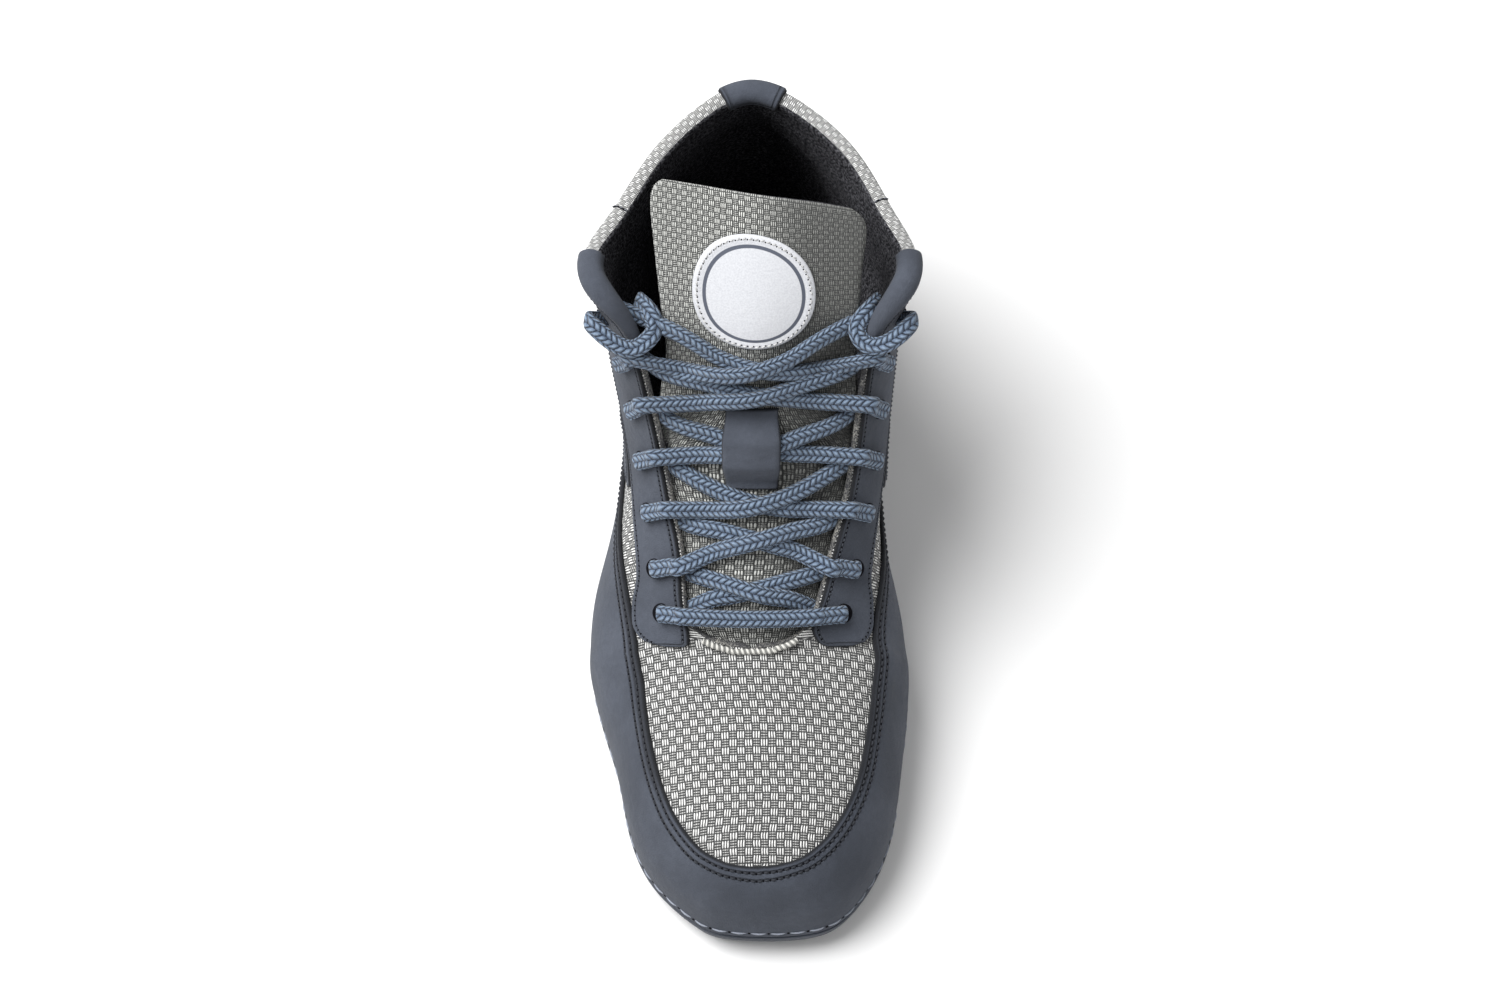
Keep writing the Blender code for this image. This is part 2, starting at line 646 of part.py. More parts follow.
def tongue_layer(inside, outside):
    """A closed layer over the tongue between two distances from its face."""
    over, under = [[[tongue(row, across, distance(row, across))
                     for across in TONGUE_GRID_STRIPS] for row in TONGUE_GRID_ROWS]
                   for distance in (outside, inside)]
    return sheet_solid(over, under)


def tongue_depth(row, across):
    """Padding that thins out to the edges, the tip and the sewn-in lower end."""
    side = 1 - across ** 4
    ends = smooth((row + 0.6) / 2) * smooth((TONGUE_LAST + 0.9 - row) / 1.5)
    return -TONGUE_PADDING * (0.35 + 0.65 * side * ends)


def tongue_at(row, x, out=0.0):
    """Point of the tongue at a sideways place, found between its edges."""
    low, high = -1.0, 1.0
    for _ in range(24):
        across = (low + high) / 2
        if tongue_face(row, across)[0] < x:
            low = across
        else:
            high = across
    return tongue(row, across, out)


# Rows of the tongue where the keeper is sewn down and where it stands clear of the lace
KEEPER_ROWS = (5.44, 5.58, 5.86, 6.25, 6.64, 6.90, 7.04)
KEEPER_RISE = (0.0, 0.0, 1.0, 1.0, 1.0, 0.0, 0.0)


def make_keeper():
    room = (1 + LACE_LIFT) * LACE_THICKNESS + 3 * GAP
    half = KEEPER_WIDTH / 2
    heights = [3 * GAP + rise * room for rise in KEEPER_RISE]
    under = [[tongue_at(row, x, height) for x in (-half, 0, half)]
             for row, height in zip(KEEPER_ROWS, heights)]
    over = [[tongue_at(row, x, height + KEEPER_THICKNESS) for x in (-half, 0, half)]
            for row, height in zip(KEEPER_ROWS, heights)]
    placed(sheet_solid(over, under), "lace_keeper", SLATE, 0.85)


BADGE_ROWS = (8.45, 10.55)    # lowest and highest row of the tongue that the badge covers


def make_badge():
    """An oval patch cut from a layer over the tongue."""
    mesh = tongue_layer(lambda row, across: GAP,
                        lambda row, across: GAP + BADGE_THICKNESS)
    badge = placed(mesh, "tongue_badge", (0.75, 0.76, 0.77), 0.6)
    middle = sum(BADGE_ROWS) / 2
    reach = (BADGE_ROWS[1] - BADGE_ROWS[0]) / 2
    faces = []
    for out in (-0.003, 0.005):
        face = []
        for number in range(11):
            angle = math.pi * (0.08 + 0.84 * number / 10)
            half = BADGE_WIDTH / 2 * math.sin(angle)
            face.append([tongue_at(middle - reach * math.cos(angle), x, out)
                         for x in (-half, half)])
        faces.append(face)
    cut(badge, cutter_from(sheet_solid(*faces), "badge_outline"), "INTERSECT")


def make_tongue():
    mesh = tongue_layer(tongue_depth, lambda row, across: 0.0)
    placed(mesh, "tongue", (0.28, 0.285, 0.28), 0.85)
    make_keeper()
    make_badge()


def make_piping():
    """The rolled edge at the base of the throat, between the two facings."""
    path = []
    for side in (OUTER, INNER):
        stretch = [skin(side, THROAT + step, TOP - 0.03, PIPING + 2 * GAP)
                   for step in (0.70, 0.5, 0.25)]
        path += stretch if side == OUTER else stretch[::-1]
    path.insert(3, skin(OUTER, THROAT, TOP - 0.03, PIPING + 2 * GAP))
    tube("throat_piping", path, PIPING, MESH_GREY)


def tube(name, path, radius, colour):
    """A round tube along a path, as a curve with filled ends."""
    line = bpy.data.curves.new(name, "CURVE")
    line.dimensions = "3D"
    line.bevel_depth = radius
    line.bevel_resolution = 2
    line.use_fill_caps = True
    run = line.splines.new("POLY")
    run.points.add(len(path) - 1)
    for spot, point in zip(run.points, path):
        spot.co = (*point, 1)
    part = bpy.data.objects.new(name, line)
    model.objects.link(part)
    part.parent = shoe
    finish = bpy.data.materials.new(name)
    finish.use_nodes = True
    shader = finish.node_tree.nodes["Principled BSDF"]
    shader.inputs["Base Color"].default_value = (*colour, 1)
    shader.inputs["Roughness"].default_value = 0.8
    line.materials.append(finish)


LACE_LIFT = 0.6               # share of its thickness that one lace rides over another
LACE_ON_FACING = GAP + OVERLAY + GAP + LACE_THICKNESS / 2
LACE_ON_TONGUE = 3 * GAP + LACE_THICKNESS / 2
TONGUE_ROW = 6                # number of the section less the row of the tongue beside it


def lace_run(path, normals):
    """A flat braided lace along a path, lying square to the normals."""
    rings = []
    for number, (point, normal) in enumerate(zip(path, normals)):
        before = path[max(number - 1, 0)]
        after = path[min(number + 1, len(path) - 1)]
        across = (after - before).cross(normal).normalized()
        up = across.cross(after - before).normalized()
        ring = []
        for turn in range(6):
            angle = math.tau * turn / 6
            ring.append(point + across * (LACE_WIDTH / 2 * math.cos(angle))
                        + up * (LACE_THICKNESS / 2 * math.sin(angle) / math.sin(math.tau / 6)))
        rings.append(ring + ring[:1])
    middle = [[path[0]] * 7, [path[-1]] * 7]
    return mesh_from([rings, [middle[0], rings[0]], [middle[1], rings[-1]]])


def over_facing(side, u, v):
    return (skin(side, u, v, LACE_ON_FACING),
            Vector(surface_normal(side, u, v)))


def over_tongue(row, x, lift):
    point = tongue_at(row, x, LACE_ON_TONGUE + lift)
    return point, point - tongue_at(row, x)


# For each crossing of the lace over the tongue: the section where its strands meet, and
# how far its strands reach under the facing, a share of the throat's half width
CROSSINGS = ((9.66, 0.80), (10.47, 0.80), (11.14, 0.80), (12.25, 0.80), (13.36, 0.78),
             (13.92, 0.61))
PAST_EDGE = 0.13              # levels that a strand runs on before it drops to the tongue


def crossing_strand(side, number, on_top):
    """From one facing's eyelet over the tongue to the other facing, one eyelet up."""
    low, high = EYELETS[number], EYELETS[number + 1]
    meet, width = CROSSINGS[number]
    start_u, end_u = low[0] + 0.15, high[0] - 0.25
    spots = []
    if number == 0:
        start_u = low[0] + 0.30
    else:
        spots = [over_facing(side, low[0], level)
                 for level in (low[1] + 0.02, TOP - 0.05, TOP + PAST_EDGE)]
    if number == 5:
        end_u = high[0] - 0.55
    start_x = top_point(side, start_u)[0] * 0.66
    end_x = top_point(-side, end_u)[0] * width
    for share in (0.0, 0.25, 0.5, 0.75, 1.0):
        ride = LACE_LIFT * LACE_THICKNESS * (1 - abs(share - 0.5) / 0.5) if on_top else 0
        bend = 4 * share * (1 - share) * (meet - (start_u + end_u) / 2)
        u = start_u + (end_u - start_u) * share + bend
        spots.append(over_tongue(u - TONGUE_ROW, start_x + (end_x - start_x) * share, ride))
    return lace_run([spot[0] for spot in spots], [spot[1] for spot in spots])


def make_bar():
    """The straight stretch between the two lowest eyelets."""
    u, v = EYELETS[0]
    levels = (v, TOP - 0.05, TOP + PAST_EDGE)
    spots = [over_facing(OUTER, u, level) for level in levels]
    spots.append(over_tongue(u - TONGUE_ROW, 0.0, LACE_THICKNESS))
    spots += [over_facing(INNER, u, level) for level in reversed(levels)]
    placed(lace_run([spot[0] for spot in spots], [spot[1] for spot in spots]),
           "lace_bar", LACE_BLUE, 0.7)


def make_laces():
    make_bar()
    for number in range(len(CROSSINGS)):
        top_side = INNER if number % 2 == 0 else OUTER
        strand = placed(crossing_strand(-top_side, number, False),
                        "lace_crossing_%d" % (number + 1), LACE_BLUE, 0.7)
        other = cutter_from(crossing_strand(top_side, number, True), "upper_strand")
        cut(strand, other, "UNION", FLAT / 4)


# The lace's two ends, from the top eyelet round the front of the collar into the shoe
END_RADIUS = 0.0020
END_POINTS = 11
END_ROUTES = {
    "lace_end_outer": (
        (-0.0540, 0.1700, 0.1405), (-0.0500, 0.1665, 0.1375), (-0.0448, 0.1630, 0.1350),
        (-0.0385, 0.1629, 0.1336), (-0.0345, 0.1652, 0.1348), (-0.0325, 0.1690, 0.1365),
        (-0.0340, 0.1735, 0.1385), (-0.0375, 0.1780, 0.1360)),
    "lace_end_inner": (
        (0.0540, 0.1700, 0.1405), (0.0510, 0.1660, 0.1375), (0.0458, 0.1630, 0.1350),
        (0.0405, 0.1629, 0.1336), (0.0374, 0.1652, 0.1350), (0.0365, 0.1690, 0.1378),
        (0.0385, 0.1735, 0.1390), (0.0405, 0.1780, 0.1365)),
}


def make_ends():
    for name, route in END_ROUTES.items():
        line = Spline(route)
        path = [line.at(share * (len(route) - 1)) for share in np.linspace(0, 1, END_POINTS)]
        tube(name, path, END_RADIUS, LACE_BLUE)


def centre_on_floor():
    """Set the shoe's box, without the loose lace ends, on the floor round the origin."""
    bpy.context.view_layer.update()
    points = []
    for part in model.objects:
        if part.type == "EMPTY" or part.name in END_ROUTES:
            continue
        ready = part.evaluated_get(bpy.context.evaluated_depsgraph_get())
        points += [tuple(vertex.co) for vertex in ready.to_mesh().vertices]
        ready.to_mesh_clear()
    low, high = np.min(points, axis=0), np.max(points, axis=0)
    shoe.location = (-(low[0] + high[0]) / 2, -(low[1] + high[1]) / 2, -low[2])


def build():
    make_outsole()
    make_insole()
    make_upper()
    make_overlays()
    make_tongue()
    make_piping()
    make_laces()
    make_ends()
    for cutter in list(cutters.objects):
        bpy.data.objects.remove(cutter)
    centre_on_floor()


for old in list(bpy.data.objects):
    bpy.data.objects.remove(old)
model = bpy.data.collections.new("wrestling_shoe")
cutters = bpy.data.collections.new("cutters")
bpy.context.scene.collection.children.link(model)
bpy.context.scene.collection.children.link(cutters)
shoe = bpy.data.objects.new("shoe", None)
model.objects.link(shoe)
build()
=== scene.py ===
import math

import bmesh
import bpy
import numpy as np
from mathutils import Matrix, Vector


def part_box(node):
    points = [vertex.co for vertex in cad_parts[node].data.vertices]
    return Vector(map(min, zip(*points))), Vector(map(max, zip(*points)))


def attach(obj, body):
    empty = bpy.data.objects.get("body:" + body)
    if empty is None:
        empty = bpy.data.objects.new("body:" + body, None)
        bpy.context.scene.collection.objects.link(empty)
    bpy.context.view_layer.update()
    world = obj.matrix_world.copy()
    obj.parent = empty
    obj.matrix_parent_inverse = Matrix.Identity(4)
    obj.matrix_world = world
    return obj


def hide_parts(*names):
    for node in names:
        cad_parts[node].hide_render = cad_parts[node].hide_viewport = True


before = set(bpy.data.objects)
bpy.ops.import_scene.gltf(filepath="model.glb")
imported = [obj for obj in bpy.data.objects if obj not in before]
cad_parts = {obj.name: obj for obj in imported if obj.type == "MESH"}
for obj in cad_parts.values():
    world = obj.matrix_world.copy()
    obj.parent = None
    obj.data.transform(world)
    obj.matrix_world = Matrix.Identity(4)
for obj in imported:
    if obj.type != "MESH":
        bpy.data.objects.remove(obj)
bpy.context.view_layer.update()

bpy.ops.object.select_all(action="DESELECT")

# Upper: one shell of light basket mesh, foam and black fleece, sewn to shape over the last and
# held down by the cup of the sole. It is drawn from the same sections as the solid: a row for
# each, from the middle of the toe round to the middle of the heel, as shares of the main sizes.
LENGTH = 0.278                                 # metres, as are all sizes
HALF_BALL = 0.108 / 2
VAMP_HEIGHT = 0.060
COLLAR_HEIGHT = 0.141
TOE_SPRING = 0.0060
ARCH_LIFT = 0.0018
HEEL_LIFT = 0.0030
SOLE_PLATE = 0.0050
RIM_HEIGHT = 0.0080
RIM_WALL = 0.0030
WALL = 0.0020                                  # thickness of mesh, foam and lining
COLLAR_PADDING = 0.0056
GAP = 0.0003                                   # room between two pieces laid together
COLUMNS = ("reach",
           "out_sole", "out_belly", "out_waist", "out_shoulder", "out_top",
           "in_sole", "in_belly", "in_waist", "in_shoulder", "in_top",
           "top_reach", "top_rise")
SECTIONS = (
    (0.000, 0.09, 0.09, 0.09, 0.08, 0.06, 0.09, 0.09, 0.09, 0.08, 0.06, 0.061, 0.69),
    (0.004, -0.19, -0.17, -0.13, -0.06, 0.06, 0.36, 0.34, 0.29, 0.20, 0.06, 0.074, 0.72),
    (0.020, -0.36, -0.34, -0.28, -0.16, 0.06, 0.55, 0.52, 0.45, 0.32, 0.06, 0.090, 0.75),
    (0.054, -0.55, -0.52, -0.44, -0.26, 0.07, 0.70, 0.67, 0.59, 0.42, 0.07, 0.115, 0.79),
    (0.099, -0.70, -0.67, -0.58, -0.36, 0.07, 0.82, 0.79, 0.70, 0.50, 0.07, 0.147, 0.82),
    (0.155, -0.79, -0.76, -0.68, -0.43, 0.06, 0.90, 0.87, 0.79, 0.57, 0.06, 0.187, 0.86),
    (0.209, -0.84, -0.82, -0.74, -0.48, 0.05, 0.93, 0.91, 0.84, 0.60, 0.05, 0.228, 0.90),
    (0.263, -0.92, -0.90, -0.81, -0.52, 0.02, 0.97, 0.94, 0.87, 0.63, 0.02, 0.271, 0.95),
    (0.324, -1.00, -0.98, -0.88, -0.56, 0.00, 0.99, 0.96, 0.90, 0.64, 0.00, 0.309, 1.00),
    (0.371, -1.01, -0.99, -0.90, -0.63, -0.37, 0.97, 0.94, 0.88, 0.65, 0.34, 0.333, 1.03),
    (0.432, -0.98, -0.96, -0.88, -0.68, -0.43, 0.89, 0.88, 0.85, 0.71, 0.47, 0.397, 1.14),
    (0.496, -0.89, -0.88, -0.83, -0.71, -0.49, 0.77, 0.78, 0.80, 0.76, 0.57, 0.457, 1.27),
    (0.561, -0.80, -0.81, -0.79, -0.73, -0.55, 0.67, 0.71, 0.79, 0.80, 0.63, 0.507, 1.42),
    (0.626, -0.73, -0.76, -0.78, -0.78, -0.62, 0.62, 0.67, 0.77, 0.83, 0.67, 0.550, 1.61),
    (0.683, -0.70, -0.73, -0.78, -0.84, -0.69, 0.60, 0.66, 0.76, 0.86, 0.71, 0.585, 1.80),
    (0.737, -0.69, -0.71, -0.77, -0.88, -0.79, 0.61, 0.67, 0.75, 0.88, 0.79, 0.606, 1.97),
    (0.784, -0.68, -0.70, -0.75, -0.90, -0.98, 0.64, 0.68, 0.74, 0.89, 0.96, 0.635, 2.07),
    (0.835, -0.67, -0.69, -0.72, -0.84, -1.01, 0.65, 0.68, 0.71, 0.83, 0.99, 0.690, 2.04),
    (0.888, -0.62, -0.65, -0.66, -0.71, -0.85, 0.61, 0.64, 0.65, 0.71, 0.86, 0.753, 1.98),
    (0.942, -0.50, -0.53, -0.52, -0.52, -0.64, 0.50, 0.52, 0.51, 0.52, 0.67, 0.825, 1.97),
    (0.984, -0.28, -0.30, -0.29, -0.28, -0.36, 0.28, 0.30, 0.29, 0.28, 0.38, 0.886, 1.98),
    (1.000, 0.00, 0.00, 0.00, 0.00, 0.00, 0.00, 0.00, 0.00, 0.00, 0.00, 0.919, 2.00),
)
HEEL = len(SECTIONS) - 1
THROAT = 8                                     # sections at the throat and the collar's corner
CORNER = 16
LEVEL_REACH = (0.10, 0.31, 0.64)
VAMP_LEVELS = (0.24, 0.57, 0.86)
SHAFT_LEVELS = (0.16, 0.45, 0.74)
FEATHER, RIM, WAIST, SHOULDER, TOP = 0, 1, 3, 4, 5   # levels up a section; 2 is the belly
OUTER, INNER = -1, 1
TOE_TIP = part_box("outsole")[0][1]              # place of the toe tip along the shoe
MIDLINE = 0.00064                              # how far the last's middle line lies off centre
PLACE = np.array((MIDLINE, TOE_TIP, 0.0))


def unit(vectors):
    return vectors / np.linalg.norm(vectors, axis=-1, keepdims=True)


def run_along(points):
    """How far along a row of points each of them lies."""
    return np.concatenate([[0], np.cumsum(np.linalg.norm(np.diff(points, axis=0), axis=1))])


def smooth(value):
    value = np.clip(value, 0.0, 1.0)
    return value * value * (3 - 2 * value)


class Spline:
    """A smooth curve through evenly numbered points, closed or with free ends."""

    def __init__(self, points, closed=False):
        self.points = np.array(points, dtype=float).reshape(len(points), -1)
        self.closed = closed
        count = len(self.points)
        matrix = np.zeros((count, count))
        pull = np.zeros_like(self.points)
        for i in range(count):
            if not closed and i in (0, count - 1):
                matrix[i, i] = 1
                continue
            after = (i + 1) % count
            matrix[i, i - 1] += 1
            matrix[i, i] += 4
            matrix[i, after] += 1
            pull[i] = 6 * (self.points[i - 1] - 2 * self.points[i] + self.points[after])
        self.bend = np.linalg.solve(matrix, pull)

    def at(self, where):
        where = np.asarray(where, dtype=float)
        count = len(self.points)
        if self.closed:
            where = where % count
            first = np.floor(where).astype(int) % count
            part = (where - np.floor(where))[..., None]
        else:
            first = np.clip(np.floor(where).astype(int), 0, count - 2)
            part = (where - first)[..., None]
        second = (first + 1) % count
        low, high = self.points[first], self.points[second]
        low_bend, high_bend = self.bend[first], self.bend[second]
        rest = 1 - part
        inside = (rest * low + part * high + (rest ** 3 - rest) * low_bend / 6
                  + (part ** 3 - part) * high_bend / 6)
        after = high + (high - low + (low_bend + 2 * high_bend) / 6) * (part - 1)
        before = low + (high - low - (2 * low_bend + high_bend) / 6) * part
        return np.where(part > 1, after, np.where(part < 0, before, inside))


def column(name):
    place = COLUMNS.index(name)
    return [row[place] for row in SECTIONS]


def round_the_shoe(outer, inner):
    """Two columns as one, from the toe along the outer side and back along the inner."""
    return column(outer) + column(inner)[-2:0:-1]


def top_columns(width):
    return list(zip(column("top_reach"), column(width), column("top_rise")))


AROUND = Spline(list(zip(
    round_the_shoe("reach", "reach"),
    *[round_the_shoe("out_" + level, "in_" + level)
      for level in ("sole", "belly", "waist", "shoulder")])), closed=True)
RIDGE = Spline(top_columns("out_top")[:THROAT + 1])
TOP_LINE = Spline(top_columns("out_top")[THROAT:] + top_columns("in_top")[-2:THROAT:-1],
                  closed=True)


def height_of(rise):
    if rise <= 1:
        return rise * VAMP_HEIGHT
    return VAMP_HEIGHT + (rise - 1) * (COLLAR_HEIGHT - VAMP_HEIGHT)


def underside(reach):
    share = reach / LENGTH
    toe = TOE_SPRING * max(0, 1 - share / 0.24) ** 2
    arch = ARCH_LIFT * math.sin(math.pi * min(max((share - 0.46) / 0.26, 0), 1)) ** 2
    back = HEEL_LIFT * max(0, (share - 0.90) / 0.10) ** 2
    return toe + arch + back


def deck(reach):
    return underside(reach) + SOLE_PLATE


def rim(reach):
    return deck(reach) + RIM_HEIGHT


def round_place(side, u):
    return u if side == OUTER else 2 * HEEL - u


def outline(side, u, inset=0.0):
    """Point (x, reach) of the sole's outline, moved in by a distance at right angles."""
    place = round_place(side, u)
    here, ahead, behind = AROUND.at([place, place + 0.01, place - 0.01])
    dx = (ahead[1] - behind[1]) * HALF_BALL
    dy = (ahead[0] - behind[0]) * LENGTH
    size = math.hypot(dx, dy)
    return (here[1] * HALF_BALL + inset * dy / size,
            here[0] * LENGTH - inset * dx / size)


def top_point(side, u):
    if u <= THROAT:
        reach, width, rise = RIDGE.at(u)
    else:
        place = u - THROAT
        if side == INNER:
            place = 2 * (HEEL - THROAT) - place
        reach, width, rise = TOP_LINE.at(place)
    return np.array((width * HALF_BALL, reach * LENGTH, height_of(rise)))


def half_rib(side, u):
    x, reach = outline(side, u, RIM_WALL + GAP)
    foot = np.array((x, reach, rim(reach)))
    top = top_point(side, u)
    _, _, belly, waist, shoulder = AROUND.at(round_place(side, u))
    slope = min(max((top[2] - VAMP_HEIGHT) / (0.6 * (COLLAR_HEIGHT - VAMP_HEIGHT)), 0), 1)
    points = [foot]
    for width, along, low, high in zip((belly, waist, shoulder), LEVEL_REACH,
                                       VAMP_LEVELS, SHAFT_LEVELS):
        rise = low + (high - low) * slope
        points.append(np.array((width * HALF_BALL,
                                foot[1] + along * (top[1] - foot[1]),
                                foot[2] + rise * (top[2] - foot[2]))))
    return points + [top]


RIBS = {}


def rib(side, u):
    key = (side, round(u, 6))
    if key not in RIBS:
        points = half_rib(side, u)
        if u <= THROAT:
            points = points + half_rib(-side, u)[-2::-1]
        x, reach = outline(side, u, RIM_WALL + GAP)
        RIBS[key] = (Spline(points), np.array((x, reach, deck(reach) + GAP)))
    return RIBS[key]


def surface(side, u, levels):
    """Points on the outside of the last up one section, before creases."""
    levels = np.atleast_1d(np.asarray(levels, dtype=float))
    curve, low = rib(side, u)
    wall = low + (curve.points[0] - low) * levels[:, None]
    return np.where(levels[:, None] >= RIM, curve.at(levels - RIM), wall)


def normals(side, u, levels, step=0.02):
    levels = np.atleast_1d(np.asarray(levels, dtype=float))
    if u < step:
        below = np.minimum(levels, TOP - 10 * step)
        along = (surface(OUTER, step, below) - surface(INNER, step, below)) * -side
    elif u > HEEL - step:
        along = surface(-side, HEEL - step, levels) - surface(side, HEEL - step, levels)
    elif abs(u - THROAT) < step:
        along = surface(side, u, levels) - surface(side, u - step, levels)
    else:
        along = surface(side, u + step, levels) - surface(side, u - step, levels)
    high = np.minimum(levels + step, TOP) if u < step else levels + step
    rise = surface(side, u, high) - surface(side, u, np.maximum(levels - step, FEATHER))
    return unit(np.cross(along, rise) * side)


# Creases: a side, the section and level at each end, half the width, and the depth in metres
# (a ridge is negative). The first ones lie at the ankle, the last over the flex of the vamp.
CREASES = (
    (OUTER, 12.2, 3.70, 17.6, 2.55, 0.0070, 0.0019),
    (OUTER, 13.0, 3.75, 17.4, 3.15, 0.0060, 0.0015),
    (OUTER, 12.9, 3.20, 17.0, 2.75, 0.0060, -0.0010),
    (OUTER, 16.4, 3.60, 19.4, 3.20, 0.0070, 0.0009),
    (INNER, 12.0, 3.70, 17.3, 2.65, 0.0070, 0.0018),
    (INNER, 13.2, 3.80, 17.6, 3.25, 0.0060, 0.0014),
    (INNER, 12.9, 3.25, 16.8, 2.85, 0.0060, -0.0010),
    (INNER, 16.6, 3.55, 19.4, 3.25, 0.0070, 0.0010),
    (OUTER, 7.2, 3.20, 7.6, 4.45, 0.0050, 0.0007),
    (INNER, 7.1, 3.20, 7.5, 4.40, 0.0050, 0.0007),
    (OUTER, 5.9, 3.55, 6.2, 4.60, 0.0060, 0.0004),
    (INNER, 5.6, 3.50, 6.0, 4.50, 0.0060, 0.0004),
    (OUTER, 7.9, 1.70, 7.3, 3.40, 0.0045, 0.0008),
    (OUTER, 9.1, 1.80, 8.6, 3.40, 0.0045, 0.0006),
    (INNER, 7.8, 1.70, 7.2, 3.40, 0.0045, 0.0008),
    (INNER, 9.0, 1.80, 8.4, 3.40, 0.0045, 0.0006),
)
CREASE_ENDS = [(surface(row[0], row[1], row[2])[0], surface(row[0], row[3], row[4])[0])
               for row in CREASES]
CREASE_TAPER = 0.3                             # share of a crease's length over which it fades
# The padded collar: a stitched channel under the padding, where it starts and its depth
CHANNEL_START = CORNER + 0.4
CHANNEL_FADE = 0.8
CHANNEL_LEVEL = 4.02
CHANNEL_WIDTH = 0.10
CHANNEL_DEPTH = 0.0008


def creases(points, u, levels):
    """How far the cloth stands off the last, less where a trough runs."""
    shift = np.zeros(len(points))
    for row, (start, end) in zip(CREASES, CREASE_ENDS):
        run = end - start
        share = np.clip((points - start) @ run / (run @ run), 0, 1)
        away = np.linalg.norm(points - start - share[:, None] * run, axis=1)
        taper = smooth(np.minimum(share, 1 - share) / CREASE_TAPER)
        shift -= row[6] * taper * np.exp(-(away / row[5]) ** 2)
    padded = smooth((u - CHANNEL_START) / CHANNEL_FADE)
    return shift - padded * CHANNEL_DEPTH * np.exp(-((levels - CHANNEL_LEVEL)
                                                     / CHANNEL_WIDTH) ** 2)


def folded(side, u):
    """The side and section of a place past the middle of the toe or heel."""
    if u < 0:
        return -side, -u
    if u > HEEL:
        return -side, 2 * HEEL - u
    return side, u


def skin(side, u, levels, out=0.0, bare=False):
    """Points and normals of the cloth up one section, moved out by a distance."""
    side, u = folded(side, u)
    levels = np.atleast_1d(np.asarray(levels, dtype=float))
    points = surface(side, u, levels)
    facing = normals(side, u, levels)
    shift = out if bare else out + creases(points, u, levels)
    return points + facing * np.reshape(shift, (-1, 1)) + PLACE, facing


PADDING_RUN = 1.6                              # sections over which the collar's padding grows
PADDING_DEPTH = 0.4                            # and how far it starts below the shoulder


def wall(u, levels):
    """Thickness of the upper, with the collar's padding."""
    padding = (smooth((u - CORNER + PADDING_RUN) / PADDING_RUN)
               * smooth(levels - SHOULDER + PADDING_DEPTH))
    return WALL + (COLLAR_PADDING - WALL) * padding


def grid_of(points):
    """A sheet of points as an array of rows."""
    return np.array([np.asarray(row) for row in points])


def placed(name, mesh, materials):
    """A smooth object from a mesh, joined to the shoe's body."""
    mesh.shade_smooth()
    for material in materials:
        mesh.materials.append(material)
    piece = bpy.data.objects.new(name, mesh)
    bpy.context.scene.collection.objects.link(piece)
    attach(piece, "root")
    return piece


def piece_from(name, sheets, materials, weld=0.00002):
    """A piece from sheets of points, welded where they meet.

    A sheet is its points, its charts by name, and the number of its material."""
    points, faces, slots = [], [], []
    charts = {chart: [] for _, given, _ in sheets for chart in given}
    start = 0
    for grid, given, number in sheets:
        rows, columns = grid.shape[:2]
        numbers = start + np.arange(rows * columns).reshape(rows, columns)
        quads = np.stack([numbers[:-1, :-1], numbers[:-1, 1:], numbers[1:, 1:],
                          numbers[1:, :-1]], axis=-1).reshape(-1, 4)
        points.append(grid.reshape(-1, 3))
        faces.append(quads)
        slots += [number] * len(quads)
        for chart in charts:
            flat = given.get(chart)
            charts[chart].append(np.zeros((rows * columns, 2)) if flat is None
                                 else flat.reshape(-1, 2))
        start += rows * columns
    faces = np.concatenate(faces)
    mesh = bpy.data.meshes.new(name)
    mesh.from_pydata(np.concatenate(points).tolist(), [], faces.tolist())
    for chart, flats in charts.items():
        layer = mesh.uv_layers.new(name=chart)
        layer.data.foreach_set("uv", np.concatenate(flats)[faces.ravel()].ravel())
    mesh.polygons.foreach_set("material_index", slots)
    work = bmesh.new()
    work.from_mesh(mesh)
    bmesh.ops.remove_doubles(work, verts=work.verts, dist=weld)
    bmesh.ops.dissolve_degenerate(work, edges=work.edges, dist=weld / 2)
    bmesh.ops.recalc_face_normals(work, faces=work.faces)
    work.to_mesh(mesh)
    work.free()
    return placed(name, mesh, materials)


def pad_sheets(over, under, charts, back=0):
    """The sheets of a closed pad: its face, its back and the strips round them."""
    over, under = grid_of(over), grid_of(under)
    charts = {name: grid_of(chart) for name, chart in charts.items()}
    strips = [np.stack([over[end], under[end]]) for end in (0, -1)]
    strips += [np.stack([over[:, end], under[:, end]]) for end in (0, -1)]
    return [(over, charts, 0), (under, {}, back)] + [(strip, {}, 0) for strip in strips]


def edge_height(border, rounding):
    """Share of a panel's thickness at a distance from its rounded edge."""
    share = np.clip(border / rounding, 0, 1)
    return 0.5 + 0.5 * np.sqrt(1 - (1 - share) ** 2)


# The middle line of the mesh, over the vamp and then between the two facings
MIDDLE_END = 15.5
MIDDLE_PLACES = np.concatenate([np.linspace(0, THROAT, 60),
                                np.linspace(THROAT + 0.1, MIDDLE_END, 50)])
MIDDLE = np.array([(top_point(OUTER, u) + top_point(INNER, u)) / 2 for u in MIDDLE_PLACES])
MIDDLE_RUN = run_along(MIDDLE[:, 1:])


